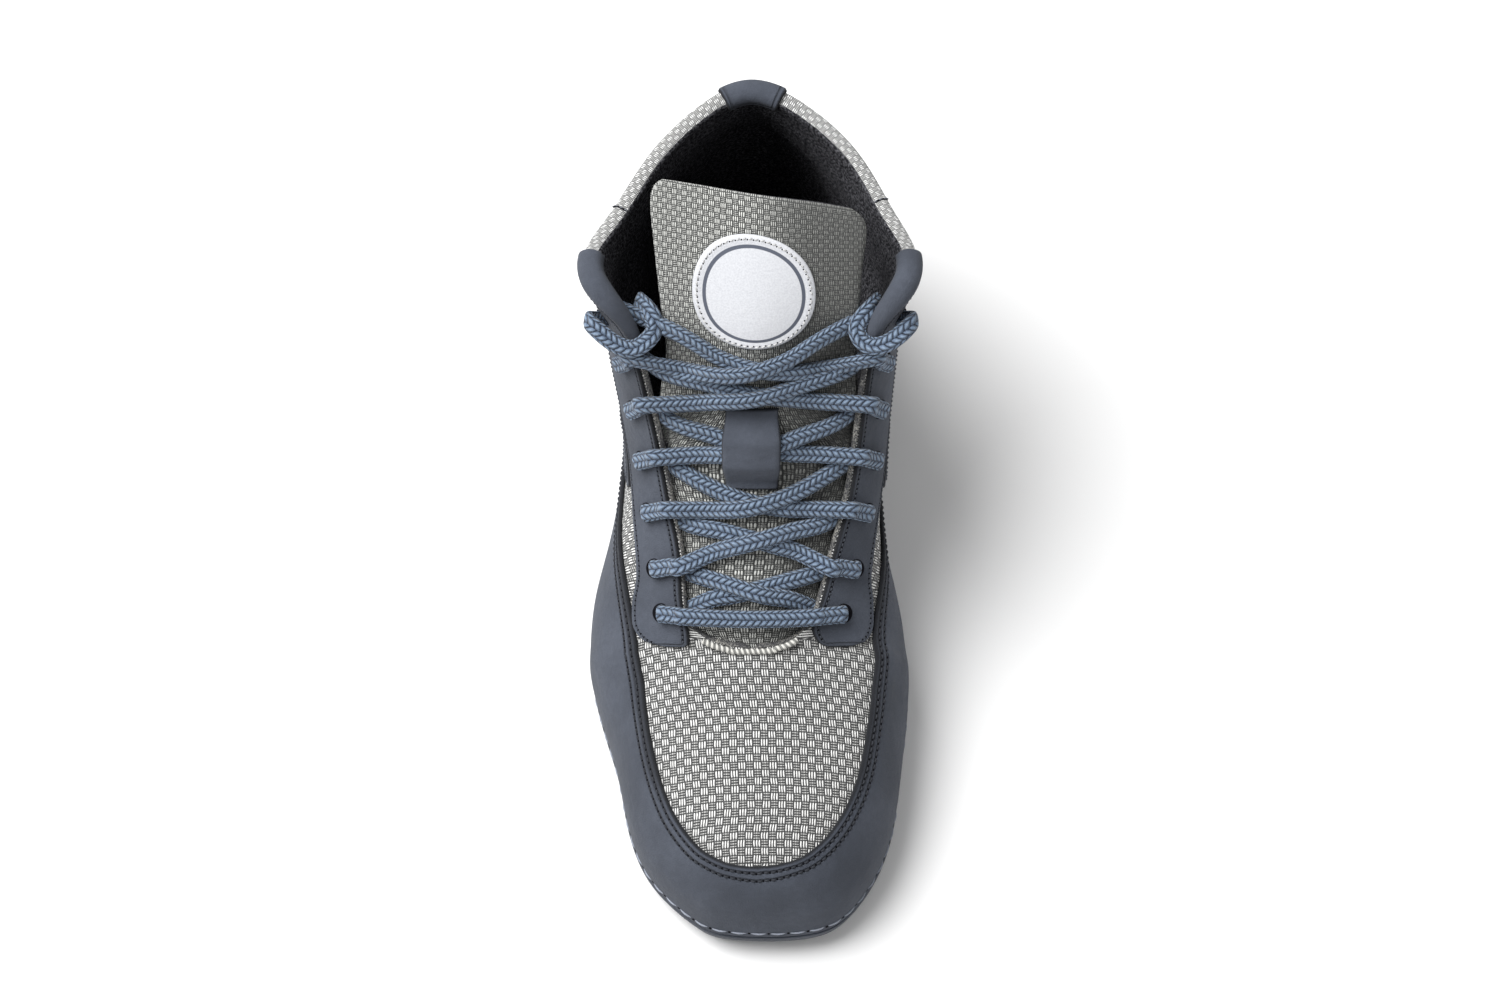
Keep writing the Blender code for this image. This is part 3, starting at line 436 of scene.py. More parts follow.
def vamp_chart(points):
    """Weave places on the vamp: across from the middle line, and along it."""
    local = points - PLACE
    reach = local[..., 1]
    middle_x = np.interp(reach, MIDDLE[:, 1], MIDDLE[:, 0])
    middle_z = np.interp(reach, MIDDLE[:, 1], MIDDLE[:, 2])
    before = np.minimum(reach - MIDDLE[0, 1], 0)
    along = np.interp(reach, MIDDLE[:, 1], MIDDLE_RUN) + before
    aside = np.hypot(local[..., 0] - middle_x, local[..., 2] - middle_z)
    across = np.where(local[..., 0] < middle_x, -1, 1) * aside
    return np.stack([across, along], axis=-1)


AROUND_RUN = {}
for side in (OUTER, INNER):
    stops = np.linspace(0, HEEL, 211)
    waist = np.array([surface(side, u, WAIST)[0][:2] for u in stops])
    AROUND_RUN[side] = (stops, run_along(waist))


def quarter_chart(side, places, grid, start=None):
    """Weave places on the quarters: round the shoe, and up it or over the rolled edge."""
    round_run = np.interp(places, *AROUND_RUN[side]) * side
    rise = grid[..., 2]
    if start is not None:
        steps = np.linalg.norm(np.diff(grid, axis=1), axis=2)
        rise = start[:, None] + np.concatenate(
            [np.zeros((len(grid), 1)), np.cumsum(steps, axis=1)], axis=1)
    return np.stack([np.repeat(round_run[:, None], grid.shape[1], axis=1), rise], axis=-1)


class Recipe:
    """The shader nodes of one finish, joined by short calls."""

    def __init__(self, name, roughness=0.9, **fixed):
        self.material = bpy.data.materials.new(name)
        self.material.use_nodes = True
        self.tree = self.material.node_tree
        self.shader = self.tree.nodes["Principled BSDF"]
        self.shader.inputs["Roughness"].default_value = roughness
        for socket, value in fixed.items():
            self.shader.inputs[socket.replace("_", " ")].default_value = value

    def put(self, socket, value):
        if isinstance(value, bpy.types.NodeSocket):
            self.tree.links.new(value, socket)
        elif isinstance(value, tuple) and len(value) == 3 and socket.type == "RGBA":
            socket.default_value = (*value, 1)
        else:
            socket.default_value = value

    def finish(self, name, value):
        self.put(self.shader.inputs[name], value)

    def calc(self, operation, first, second=0.0):
        node = self.tree.nodes.new("ShaderNodeMath")
        node.operation = operation
        for socket, value in zip(node.inputs, (first, second)):
            self.put(socket, value)
        return node.outputs[0]

    def plus(self, first, second):
        return self.calc("ADD", first, second)

    def minus(self, first, second):
        return self.calc("SUBTRACT", first, second)

    def times(self, first, second):
        return self.calc("MULTIPLY", first, second)

    def between(self, value, low, high, start=0.0, end=1.0):
        node = self.tree.nodes.new("ShaderNodeMapRange")
        node.interpolation_type = "SMOOTHSTEP"
        for socket, given in zip(node.inputs, (value, low, high, start, end)):
            self.put(socket, given)
        return node.outputs[0]

    def blend(self, share, first, second):
        node = self.tree.nodes.new("ShaderNodeMix")
        node.data_type = "RGBA"
        self.put(node.inputs["Factor"], share)
        self.put(node.inputs[6], first)
        self.put(node.inputs[7], second)
        return node.outputs[2]

    def noise(self, scale, detail=2.0, places=None, roughness=0.5):
        node = self.tree.nodes.new("ShaderNodeTexNoise")
        self.put(node.inputs["Scale"], scale)
        self.put(node.inputs["Detail"], detail)
        self.put(node.inputs["Roughness"], roughness)
        self.put(node.inputs["Vector"], places or self.places())
        return node.outputs["Fac"]

    def places(self):
        return self.tree.nodes.new("ShaderNodeTexCoord").outputs["Object"]

    def stretched(self, places, scale):
        node = self.tree.nodes.new("ShaderNodeMapping")
        self.put(node.inputs["Vector"], places)
        node.inputs["Scale"].default_value = scale
        return node.outputs[0]

    def apart(self, places):
        """The x, y and z of a place, each by itself."""
        node = self.tree.nodes.new("ShaderNodeSeparateXYZ")
        self.put(node.inputs[0], places)
        return node.outputs

    def chart(self, name):
        node = self.tree.nodes.new("ShaderNodeUVMap")
        node.uv_map = name
        return self.apart(node.outputs[0])

    def relief(self, height, depth, under=None):
        node = self.tree.nodes.new("ShaderNodeBump")
        node.inputs["Distance"].default_value = depth
        self.put(node.inputs["Height"], height)
        if under is not None:
            self.put(node.inputs["Normal"], under)
        return node.outputs[0]


def shaded(colour, share, more=0.0):
    return tuple(part * share + more for part in colour)


BARS = 3                                       # threads side by side in one block of the weave


def basket_mesh(name, block, upright, level, gap, depth=0.0006, wear_and_painted_shade=None):
    """Basket weave: blocks of upright bars by turns with blocks of level ones.

    The last argument paints shade: where along X the thread starts to darken, where it has, and
    by what share, so that one side reads as turned from the light."""
    finish = Recipe(name, 0.86, Sheen_Weight=0.12, Specular_IOR_Level=0.25)
    weave = finish.chart("weave")
    sway = finish.times(finish.noise(260.0, 2.0), 0.22)
    across = finish.plus(finish.calc("DIVIDE", weave[0], block), sway)
    along = finish.plus(finish.calc("DIVIDE", weave[1], block), sway)
    turn = finish.calc("FLOORED_MODULO", finish.plus(finish.calc("FLOOR", across),
                                                     finish.calc("FLOOR", along)), 2.0)

    def wave(value, count):
        return finish.calc("ABSOLUTE", finish.calc("SINE", finish.times(value, math.pi * count)))

    def rounded(bar, ends):
        return finish.times(bar, finish.calc("POWER", ends, 0.35))

    upright_wave = wave(across, BARS)
    upright_bar = rounded(upright_wave, wave(along, 1))
    level_bar = rounded(wave(along, BARS), wave(across, 1))
    level_bar = finish.times(level_bar, finish.between(upright_wave, 0.1, 0.6, 0.55, 1.0))
    # A block is either upright or level, never both
    height = finish.plus(finish.times(upright_bar, turn),
                         finish.times(level_bar, finish.times(finish.minus(1.0, turn), 0.8)))
    yarn = finish.noise(900.0, 3.0)
    patchy = finish.between(finish.noise(55.0, 2.0), 0.3, 0.7)
    thread = finish.blend(turn, level, upright)
    thread = finish.blend(finish.between(yarn, 0.35, 0.75, 0.0, 0.45), thread,
                          shaded(upright, 0.55))
    thread = finish.blend(finish.times(patchy, 0.18), thread, level)
    # Painted shade: the thread darkens along X, towards the side turned from the light.
    if wear_and_painted_shade:
        start, end, share = wear_and_painted_shade
        grey = finish.between(finish.apart(finish.places())[0], start, end, 0.0, share)
        thread = finish.blend(grey, thread, shaded(level, 0.2))
    finish.finish("Base Color", finish.blend(finish.between(height, 0.36, 0.74), gap, thread))
    fuzz = finish.relief(finish.noise(4200.0, 2.0), 0.00012)
    finish.finish("Normal", finish.relief(height, depth, fuzz))
    return finish.material


LIGHT_MESH = basket_mesh("light_basket_mesh", 0.0026, (0.94, 0.94, 0.92), (0.56, 0.56, 0.54),
                         (0.065, 0.066, 0.068))
COLLAR_MESH = basket_mesh("collar_mesh", 0.0015, (0.94, 0.94, 0.93), (0.68, 0.68, 0.66),
                          (0.20, 0.20, 0.20), depth=0.0004)

fleece = Recipe("black_fleece", 1.0, Specular_IOR_Level=0.05)
tufts = fleece.noise(1100.0, 4.0, roughness=0.65)
fleece.finish("Base Color", fleece.blend(fleece.between(tufts, 0.40, 0.68),
                                         (0.016, 0.016, 0.019), (0.160, 0.160, 0.175)))
fleece.finish("Normal", fleece.relief(tufts, 0.0016))
FLEECE = fleece.material

facing_edge = Recipe("facing_edge_mesh", 0.8, Specular_IOR_Level=0.3)
edge_threads = facing_edge.noise(1900.0, 3.0)
edge_patches = facing_edge.between(facing_edge.noise(160.0, 2.0), 0.35, 0.65)
edge_colour = facing_edge.blend(edge_patches, (0.10, 0.10, 0.10), (0.34, 0.33, 0.30))
edge_colour = facing_edge.blend(facing_edge.between(edge_threads, 0.40, 0.62),
                                (0.045, 0.045, 0.05), edge_colour)
facing_edge.finish("Base Color", edge_colour)
facing_edge.finish("Normal", facing_edge.relief(edge_threads, 0.0004))
FACING_EDGE = facing_edge.material

SLATE = (0.062, 0.070, 0.089)
ROW_ONE = 0.0021                               # first row of stitches, from a panel's edge
ROW_TWO = 0.0046
EYESTAY_ROW = 0.0019
BAND = 0.0034                                  # brushed edge of the toe guard, along the mesh
BAND_PLACES = (-0.110, -0.088)                 # and where along the shoe it comes up
PRESSED = 0.0008                               # half the trough that a row of stitches presses
RAGGED = 0.0007                                # how far the nap frays the cut edge
CUT_EDGE = (0.0006, 0.0015)                    # where its dark shade starts and stops
EDGE_COLOUR = (0.016, 0.017, 0.020)
BAND_COLOUR = (0.020, 0.021, 0.025)


def nubuck(name, rows=(), band=None, edged=True):
    """Short-napped nubuck, dark at its cut edge and pressed in along its seams, with painted
    shade in those troughs.
    """
    finish = Recipe(name, 0.92, Sheen_Weight=0.06, Sheen_Roughness=0.5,
                    Specular_IOR_Level=0.16)
    clouds = finish.noise(38.0, 4.0)
    nap = finish.noise(2600.0, 3.0)
    brushed = finish.noise(1.0, 3.0, finish.stretched(finish.places(), (90.0, 25.0, 60.0)))
    light, dark = shaded(SLATE, 1.20, 0.002), shaded(SLATE, 0.82)
    colour = finish.blend(finish.between(clouds, 0.32, 0.68), dark, light)
    colour = finish.blend(finish.between(brushed, 0.45, 0.75, 0.0, 0.5), colour, light)
    colour = finish.blend(finish.between(nap, 0.35, 0.75, 0.0, 0.35), colour, dark)
    colour = finish.blend(finish.between(finish.noise(520.0, 3.0), 0.35, 0.70, 0.0, 0.35),
                          colour, dark)
    grain = finish.relief(nap, 0.00022)
    grain = finish.relief(finish.noise(300.0, 3.0), 0.00035, grain)
    if edged:
        from_edge = finish.chart("edge")[0]
        ragged = finish.plus(from_edge, finish.times(nap, RAGGED))
        pressed = 0.0
        for row in rows:
            away = finish.calc("ABSOLUTE", finish.minus(from_edge, row))
            pressed = finish.plus(pressed, finish.between(away, 0.0, PRESSED, 1.0, 0.0))
        # Painted shade: the colour darkens in each stitch trough, besides the trough's bump.
        if rows:
            colour = finish.blend(finish.times(pressed, 0.45), colour, shaded(SLATE, 0.45))
            grain = finish.relief(finish.minus(1.0, pressed), 0.0005, grain)
        if band:
            beside = finish.between(finish.apart(finish.places())[1], *BAND_PLACES)
            inside = finish.between(ragged, band - 0.0003, band + 0.0008, 0.72, 0.0)
            colour = finish.blend(finish.times(inside, beside), colour, BAND_COLOUR)
        cut_edge = finish.between(ragged, *CUT_EDGE, 1.0, 0.0)
        colour = finish.blend(cut_edge, colour, EDGE_COLOUR)
    finish.finish("Base Color", colour)
    finish.finish("Normal", grain)
    finish.finish("Roughness", finish.between(brushed, 0.3, 0.8, 0.82, 0.98))
    return finish.material


WING_NUBUCK = nubuck("wing_nubuck", edged=False)
WING_START = 14.25                             # sections where the nubuck wing is rolled over
WING_END = 16.875
VAMP_END = 8.625                               # section where the vamp's mesh is joined
STATIONS = np.linspace(0, HEEL, 8 * HEEL + 1)
LEVELS = np.concatenate([np.linspace(FEATHER, RIM, 4)[:-1], np.linspace(RIM, TOP, 57)])


def edge_direction(side, u, step=0.05):
    """The way that the upper points at its top line, along its own face."""
    facing = normals(side, max(u, THROAT + step), TOP)[0]
    if u < THROAT + step:
        along = (top_point(OUTER, THROAT + step) - top_point(INNER, THROAT + step)) * -side
    elif u > HEEL - step:
        along = top_point(-side, HEEL - step) - top_point(side, HEEL - step)
    else:
        along = top_point(side, u + step) - top_point(side, u - step)
    return unit(np.cross(facing, along) * side)


EDGE_BULGE = 0.24                              # rise of the rolled edge, by its own width


def rolled_edge(side, u, outside, inside, steps=9):
    """From the outside over the top line to the inside, rounded upwards."""
    across = inside - outside
    angles = np.linspace(0, math.pi, steps)[:, None]
    rise = edge_direction(side, u) * np.linalg.norm(across) * EDGE_BULGE
    return outside + across * (1 - np.cos(angles)) / 2 + rise * np.sin(angles)


# The collar's rolled edge by stretches: its two ends, its material, and where the fleece starts
ROLLED_EDGES = ((THROAT, WING_START, 2, 6), (WING_START, WING_END, 3, 7), (WING_END, HEEL, 4, 6))


def make_upper():
    """The shell: cloth outside, fleece inside, and the rolled edge between them."""
    sheets = []
    for side in (OUTER, INNER):
        outside = grid_of([skin(side, u, LEVELS)[0] for u in STATIONS])
        inside = grid_of([skin(side, u, LEVELS, -wall(u, LEVELS))[0] for u in STATIONS])
        vamp = STATIONS <= VAMP_END
        quarter = STATIONS >= VAMP_END
        sheets.append((outside[vamp], {"weave": vamp_chart(outside[vamp])}, 0))
        sheets.append((outside[quarter],
                       {"weave": quarter_chart(side, STATIONS[quarter], outside[quarter])}, 0))
        sheets.append((inside, {}, 1))
        sheets.append((np.stack([inside[:, 0], outside[:, 0]], axis=1), {}, 1))
        for start, end, number, split in ROLLED_EDGES:
            stretch = (STATIONS >= start) & (STATIONS <= end)
            places = STATIONS[stretch]
            edge = grid_of([rolled_edge(side, u, outside[i, -1], inside[i, -1])
                            for i, u in zip(np.flatnonzero(stretch), places)])
            band = edge[:, :split + 1]
            rise = outside[stretch][:, -1, 2]
            sheets.append((band, {"weave": quarter_chart(side, places, band, rise)}, number))
            sheets.append((edge[:, split:], {}, 1))
    shell = piece_from("upper_shell", sheets, [LIGHT_MESH, FLEECE, FACING_EDGE, WING_NUBUCK,
                                               COLLAR_MESH])
    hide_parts("upper")


make_upper()

# Nubuck overlays: toe guard, heel counter, eyestays, quarter straps and heel tab, cut from
# slate microfibre with a short nap, laid on the mesh and sewn down with one or two rows.
OVERLAY = 0.0012                               # thickness of the nubuck
EDGE_ROUNDING = 0.0009
GUARD_NUBUCK = nubuck("guard_nubuck", rows=(ROW_ONE, ROW_TWO), band=BAND)
STAY_NUBUCK = nubuck("stay_nubuck", rows=(EYESTAY_ROW,))
NUBUCK = nubuck("slate_nubuck")
FOOT_LEVEL = 1.13                              # lower edge of the pieces that meet the sole
FOOT_INSET = 0.0020                            # foot of a lasted panel, from the outline
FOOT_HEIGHT = 0.0066                           # and above the underside of the sole
BULGE_LEVEL = 2.2                              # where the bulge starts, and how it curves
BULGE_CURVE = 1.7
PANEL_SPACING = 0.0016                         # between the rows of a panel's mesh
NEAR_EDGE = np.array((0.0, 0.0002, 0.0005, 0.0009))      # first rows from a rounded edge
# Where a facing's upper edge and its tip run into the wing, and over how many sections
WING_JOIN = (13.8, 0.6)
WING_TIP = (16.2, 0.2)
FAR = 0.02                                     # a distance past which no edge is rounded


class Panel:
    """An overlay between two levels, over a run of sections, with rounded edges."""

    def __init__(self, name, side, bounds, lasted=False, wing=False, sunk=0.0):
        self.name = name
        self.side = side
        self.lasted = lasted
        self.wing = wing
        self.sunk = sunk
        rows = Spline(bounds)
        dense = np.linspace(0, len(bounds) - 1, 14 * len(bounds))
        path = rows.at(dense)
        middles = grid_of([self.on(u, (low + high) / 2)[0][0] for u, low, high in path])
        run = run_along(middles)
        count = max(int(run[-1] / PANEL_SPACING), 4)
        stops = self.stops(run[-1], NEAR_EDGE, count)
        self.places = rows.at(np.interp(stops, run, dense))
        self.from_ends = np.minimum(stops, run[-1] - stops)
        self.lengths, self.levels = [], []
        for u, low, high in self.places:
            levels = np.linspace(low, high, 25)
            self.lengths.append(run_along(self.on(u, levels)[0]))
            self.levels.append(levels)
        self.widths = [length[-1] for length in self.lengths]
        self.count = max(int(max(self.widths) / PANEL_SPACING), 4)

    def stops(self, length, near, count):
        """Stops over a length, closer together at its rounded ends."""
        return np.concatenate([near[:-1], np.linspace(near[-1], length - near[-1], count),
                               length - near[:-1][::-1]])

    def on(self, u, levels, out=0.0):
        """Points on the panel's side; a lasted panel bulges out over the rim of the sole."""
        levels = np.atleast_1d(levels)
        points, facing = skin(self.side, u, levels, out - self.sunk)
        if self.lasted:
            x, reach = outline(*folded(self.side, u), FOOT_INSET)
            foot = np.array((x, reach, underside(reach) + FOOT_HEIGHT)) + PLACE
            shift = foot - skin(self.side, u, FOOT_LEVEL)[0][0]
            share = np.clip((BULGE_LEVEL - levels) / (BULGE_LEVEL - FOOT_LEVEL), 0, 1)
            points = points + shift * (share ** BULGE_CURVE)[:, None]
        return points, facing

    def level_at(self, number, distance):
        return np.interp(distance, self.lengths[number], self.levels[number])

    def piece(self, node=None, material=None):
        top, base, edge = [], [], []
        for number, (u, length) in enumerate(zip(self.places[:, 0], self.widths)):
            near = NEAR_EDGE * min(1.0, length / (4 * NEAR_EDGE[-1]))
            distances = self.stops(length, near, self.count)
            joined, tip = [FAR * smooth((u - start) / run) if self.wing else 0.0
                           for start, run in (WING_JOIN, WING_TIP)]
            ends = self.from_ends[number] + tip
            border = np.minimum(np.minimum(distances, length - distances + joined), ends)
            lift = OVERLAY * edge_height(border, EDGE_ROUNDING)
            levels = self.level_at(number, distances)
            top.append(self.on(u, levels, GAP + lift)[0])
            base.append(self.on(u, levels, GAP)[0])
            from_top = np.minimum(length - distances + joined, ends)
            edge.append(np.stack([from_top, distances], axis=-1))
        panel = piece_from(self.name, pad_sheets(top, base, {"edge": edge}),
                           [material or NUBUCK])
        if node:
            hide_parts(node)

    def seam(self, distance, from_low=False):
        """Points and normals of a row of stitches at a distance from one long edge."""
        points, facings = [], []
        for number, (u, length) in enumerate(zip(self.places[:, 0], self.widths)):
            if length < 2 * distance or self.from_ends[number] < distance:
                continue
            place = distance if from_low else length - distance
            point, facing = self.on(u, self.level_at(number, place), OVERLAY + GAP)
            points.append(point[0])
            facings.append(facing[0])
        return np.array(points), np.array(facings)


def resampled(points, facings, pitch):
    """Even stops along a row, with the way on and the normal at each."""
    run = run_along(points)
    stops = np.arange(pitch / 2, run[-1], pitch)

    def at(places, rows=points):
        return np.stack([np.interp(places, run, rows[:, axis]) for axis in range(3)], axis=1)

    on = unit(at(stops + pitch / 4) - at(stops - pitch / 4))
    up = at(stops, facings)
    up = unit(up - on * np.sum(up * on, axis=1, keepdims=True))
    return at(stops), on, up


def thread_shape(length, radius, rings=5, sides=6):
    """One stitch: a short thread that rises from its hole and dips into the next."""
    points = []
    for share in np.linspace(-1, 1, rings):
        size = radius * (0.75 + 0.25 * (1 - share ** 2))
        rise = radius * (1.3 * (1 - share ** 2) - 0.7)
        for turn in range(sides):
            angle = math.tau * turn / sides
            points.append((share * length / 2, size * math.cos(angle),
                           rise + size * math.sin(angle)))
    faces = [[ring * sides + turn, ring * sides + (turn + 1) % sides,
              (ring + 1) * sides + (turn + 1) % sides, (ring + 1) * sides + turn]
             for ring in range(rings - 1) for turn in range(sides)]
    faces.append(list(range(sides))[::-1])
    faces.append([(rings - 1) * sides + turn for turn in range(sides)])
    return np.array(points), faces


def hole_shape(place, radius, sides=7):
    """The hole that the thread goes into, a low dimple's rim; its dark colour is painted shade.
    """
    points = [(place, 0, 0.00004)]
    for height in (0.00002, -0.0002):
        for angle in (math.tau * turn / sides for turn in range(sides)):
            points.append((place + radius * math.cos(angle), radius * math.sin(angle), height))
    faces = [[0, 1 + turn, 1 + (turn + 1) % sides] for turn in range(sides)]
    faces += [[1 + turn, 1 + sides + turn, 1 + sides + (turn + 1) % sides,
               1 + (turn + 1) % sides] for turn in range(sides)]
    faces.append([1 + sides + turn for turn in range(sides)][::-1])
    return np.array(points), faces


def sewn(name, rows, thread, pitch=0.0017, length=0.00115,
         radius=0.00026, hole=0.00044, slant=0.0):
    """A joined mesh of stitches and their holes along rows of points with normals."""
    shapes = [(*thread_shape(length, radius), 0)]
    if hole:
        shapes.append((*hole_shape(length * 0.62, hole), 1))
    points, faces, slots = [], [], []
    start = 0
    for row_points, row_facings in rows:
        if len(row_points) < 2:
            continue
        places, on, up = resampled(row_points, row_facings, pitch)
        aside = np.cross(up, on)
        on, aside = (on * math.cos(slant) + aside * math.sin(slant),
                     aside * math.cos(slant) - on * math.sin(slant))
        for shape, quads, number in shapes:
            for place, ahead, left, lift in zip(places, on, aside, up):
                points.append(place + shape @ np.array((ahead, left, lift)))
                faces += [[start + corner for corner in quad] for quad in quads]
                slots += [number] * len(quads)
                start += len(shape)
    mesh = bpy.data.meshes.new(name)
    mesh.from_pydata(np.concatenate(points).tolist(), [], faces)
    mesh.polygons.foreach_set("material_index", slots)
    placed(name, mesh, [thread, HOLE])


def thread_finish(name, colour):
    finish = Recipe(name, 0.7, Specular_IOR_Level=0.3)
    twist = finish.noise(3200.0, 2.0)
    finish.finish("Base Color", finish.blend(finish.between(twist, 0.3, 0.7),
                                             shaded(colour, 0.6), colour))
    finish.finish("Normal", finish.relief(twist, 0.0001))
    return finish.material


# Near black, as painted shade for the stitch holes and the eyelets' mouths; the collar darts'
# dark line takes it too.
HOLE = Recipe("stitch_hole", 1.0, Base_Color=(0.006, 0.006, 0.008, 1),
              Specular_IOR_Level=0.05).material
GREY_THREAD = thread_finish("grey_thread", (0.20, 0.21, 0.24))
ROW_THREAD = thread_finish("row_thread", (0.030, 0.033, 0.042))
SLATE_THREAD = thread_finish("slate_thread", (0.060, 0.068, 0.085))
PALE_THREAD = thread_finish("pale_thread", (0.34, 0.37, 0.44))

SOLE_ROW = 0.0026                              # long stitches above the sole's rim
SOLE_STITCH = 0.0050
SOLE_PITCH = 0.0066

GUARD_OUT = [(0, 4.59), (0.25, 4.45), (0.5, 4.34), (0.75, 4.24), (1, 4.16), (1.5, 4.01),
             (2, 3.86), (2.5, 3.70), (3, 3.61), (4, 3.58), (5, 3.57), (6, 3.57), (7, 3.61),
             (8, 3.65), (9, 3.68), (10, 3.54), (11, 3.22), (12, 2.86), (13, 2.55),
             (14.5, 2.25), (16.7, 2.05)]
GUARD_IN = [(0.25, 4.47), (0.5, 4.37), (0.75, 4.29), (1, 4.23), (1.5, 4.12), (2, 4.03),
            (2.5, 3.95), (3, 3.87), (4, 3.76), (5, 3.73), (6, 3.70), (7, 3.70), (8, 3.69),
            (9, 3.64), (10, 3.50), (11, 3.21), (12, 2.86), (13, 2.55), (14.5, 2.25),
            (16.7, 2.05)]
COUNTER_HALF = [(16.8, 2.00), (17.5, 2.35), (18.5, 2.75), (20, 2.95)]


def lasted_piece(name, tops, sole_row):
    """Nubuck drawn over the last: two rows along its top and long stitches at the sole."""
    panel = Panel(name + "_nubuck", OUTER, [(u, FOOT_LEVEL, high) for u, high in tops],
                  lasted=True)
    panel.piece(name, GUARD_NUBUCK)
    sewn(name + "_stitches", [panel.seam(ROW_ONE), panel.seam(ROW_TWO)], ROW_THREAD,
         pitch=0.0023, length=0.0018, radius=0.00036, hole=0.00045)
    sewn(sole_row, [panel.seam(SOLE_ROW, from_low=True)], PALE_THREAD,
         pitch=SOLE_PITCH, length=SOLE_STITCH, radius=0.00034, hole=0.0005)


lasted_piece("toe_guard", [(-u, high) for u, high in reversed(GUARD_IN)] + GUARD_OUT,
             "sole_stitches")
lasted_piece("heel_counter", COUNTER_HALF + [(HEEL, 3.00)]
             + [(2 * HEEL - u, high) for u, high in reversed(COUNTER_HALF)],
             "heel_sole_stitches")

# A dark backing, a nubuck's thickness deeper, closes the seam between those two pieces
SIDES = ((OUTER, "outer"), (INNER, "inner"))
for side, word in SIDES:
    Panel("side_seam_" + word, side, [(u, FOOT_LEVEL, 2.04) for u in (16.35, 16.6, 16.85, 17.1)],
          lasted=True, sunk=OVERLAY).piece()

EYESTAY = [(8.22, 4.16, 4.34), (8.4, 3.95, 4.50), (8.6, 3.80, 4.62), (8.9, 3.69, 4.85)]
EYESTAY += [(u, low, TOP - 0.02) for u, low in (
    (9.2, 3.67), (9.6, 3.76), (10, 3.90), (11, 3.93), (12, 3.92), (13, 3.94), (14, 4.02),
    (15, 4.10), (15.6, 4.24), (16.2, 4.42), (16.75, 4.64))]
STRAP = [(11.6, 3.72, 3.85), (12.1, 3.42, 3.86), (12.7, 3.16, 3.87), (13.3, 2.92, 3.62),
         (14.2, 2.62, 3.30), (15.2, 2.36, 2.96), (16.2, 2.18, 2.68), (16.9, 2.10, 2.44)]
for side, word in SIDES:
    for name, bounds in (("eyestay_" + word, EYESTAY), ("quarter_strap_" + word, STRAP)):
        stay = Panel(name + "_nubuck", side, bounds, wing=bounds is EYESTAY)
        stay.piece(name, STAY_NUBUCK)
        sewn(name + "_stitches", [stay.seam(EYESTAY_ROW, from_low=True),
                                  stay.seam(EYESTAY_ROW)], SLATE_THREAD)

INNER_SHARE = 0.6                              # thickness left inside the collar and over it
ROLL_SHARE = 0.7
ROLL_STEPS = 13


def rolled_cover(name, node, side, places, levels, thick, material):
    """Nubuck from a level on the outside over the collar's edge to a level on the inside."""
    over, under, edge = [], [], []
    run = run_along([skin(side, u, TOP)[0][0] for u in places])
    outer_levels = np.linspace(levels[0], TOP, 26)
    inner_levels = np.linspace(TOP, levels[1], 8)
    for u, stop in zip(places, run):
        part, section = folded(side, u)
        rows = []
        for out in (0.0, thick):
            outside = skin(part, section, outer_levels, GAP / 2 + out)[0]
            inside = skin(part, section, inner_levels,
                          -(wall(section, inner_levels) + GAP + out * INNER_SHARE))[0]
            roll = rolled_edge(part, section, outside[-1], inside[0], steps=ROLL_STEPS)
            rise = edge_direction(part, section) * (GAP + out * ROLL_SHARE)
            roll = roll + rise * np.sin(np.linspace(0, math.pi, ROLL_STEPS))[:, None]
            rows.append(np.concatenate([outside, roll[1:-1], inside]))
        length = run_along(rows[1])
        border = np.minimum(np.minimum(length, length[-1] - length),
                            min(stop, run[-1] - stop))
        height = edge_height(border, EDGE_ROUNDING)[:, None]
        over.append(rows[0] + (rows[1] - rows[0]) * height)
        under.append(rows[0])
        edge.append(np.stack([border, border], axis=-1))
    cover = piece_from(name, pad_sheets(over, under, {"edge": edge}), [material])
    if node:
        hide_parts(node)


# The heel tab and the wings: their sections, and their levels outside and inside the collar
TAB_PLACES = HEEL + np.linspace(-0.54, 0.54, 31)
TAB_LEVELS = (3.90, 4.90)
WING_PLACES = np.linspace(13.9, 16.9, 61)
WING_LEVELS = (4.955, 4.93)
rolled_cover("heel_tab_nubuck", "heel_tab", OUTER, TAB_PLACES, TAB_LEVELS, OVERLAY, STAY_NUBUCK)
for side, word in SIDES:
    rolled_cover("collar_wing_" + word, None, side, WING_PLACES, WING_LEVELS, GAP + OVERLAY,
                 WING_NUBUCK)

# Collar darts: on each side a short seam that takes in the collar's mesh where it turns to the
# heel. It is a dark line from a little below the edge to most of the way over it, closed with
# a row of grey thread.
DARTS = ((OUTER, 18.05), (INNER, 18.2))
DART_WIDTH = 0.0009
DART_START = 4.55                              # level of its lower end
DART_RISE = 0.00025                            # height of its ridge, and of its thread
DART_THREAD_RISE = 0.0003
DART_PROFILE = ((-1, -1), (-0.6, 0.8), (0, 1), (0.6, 0.8), (1, -1))


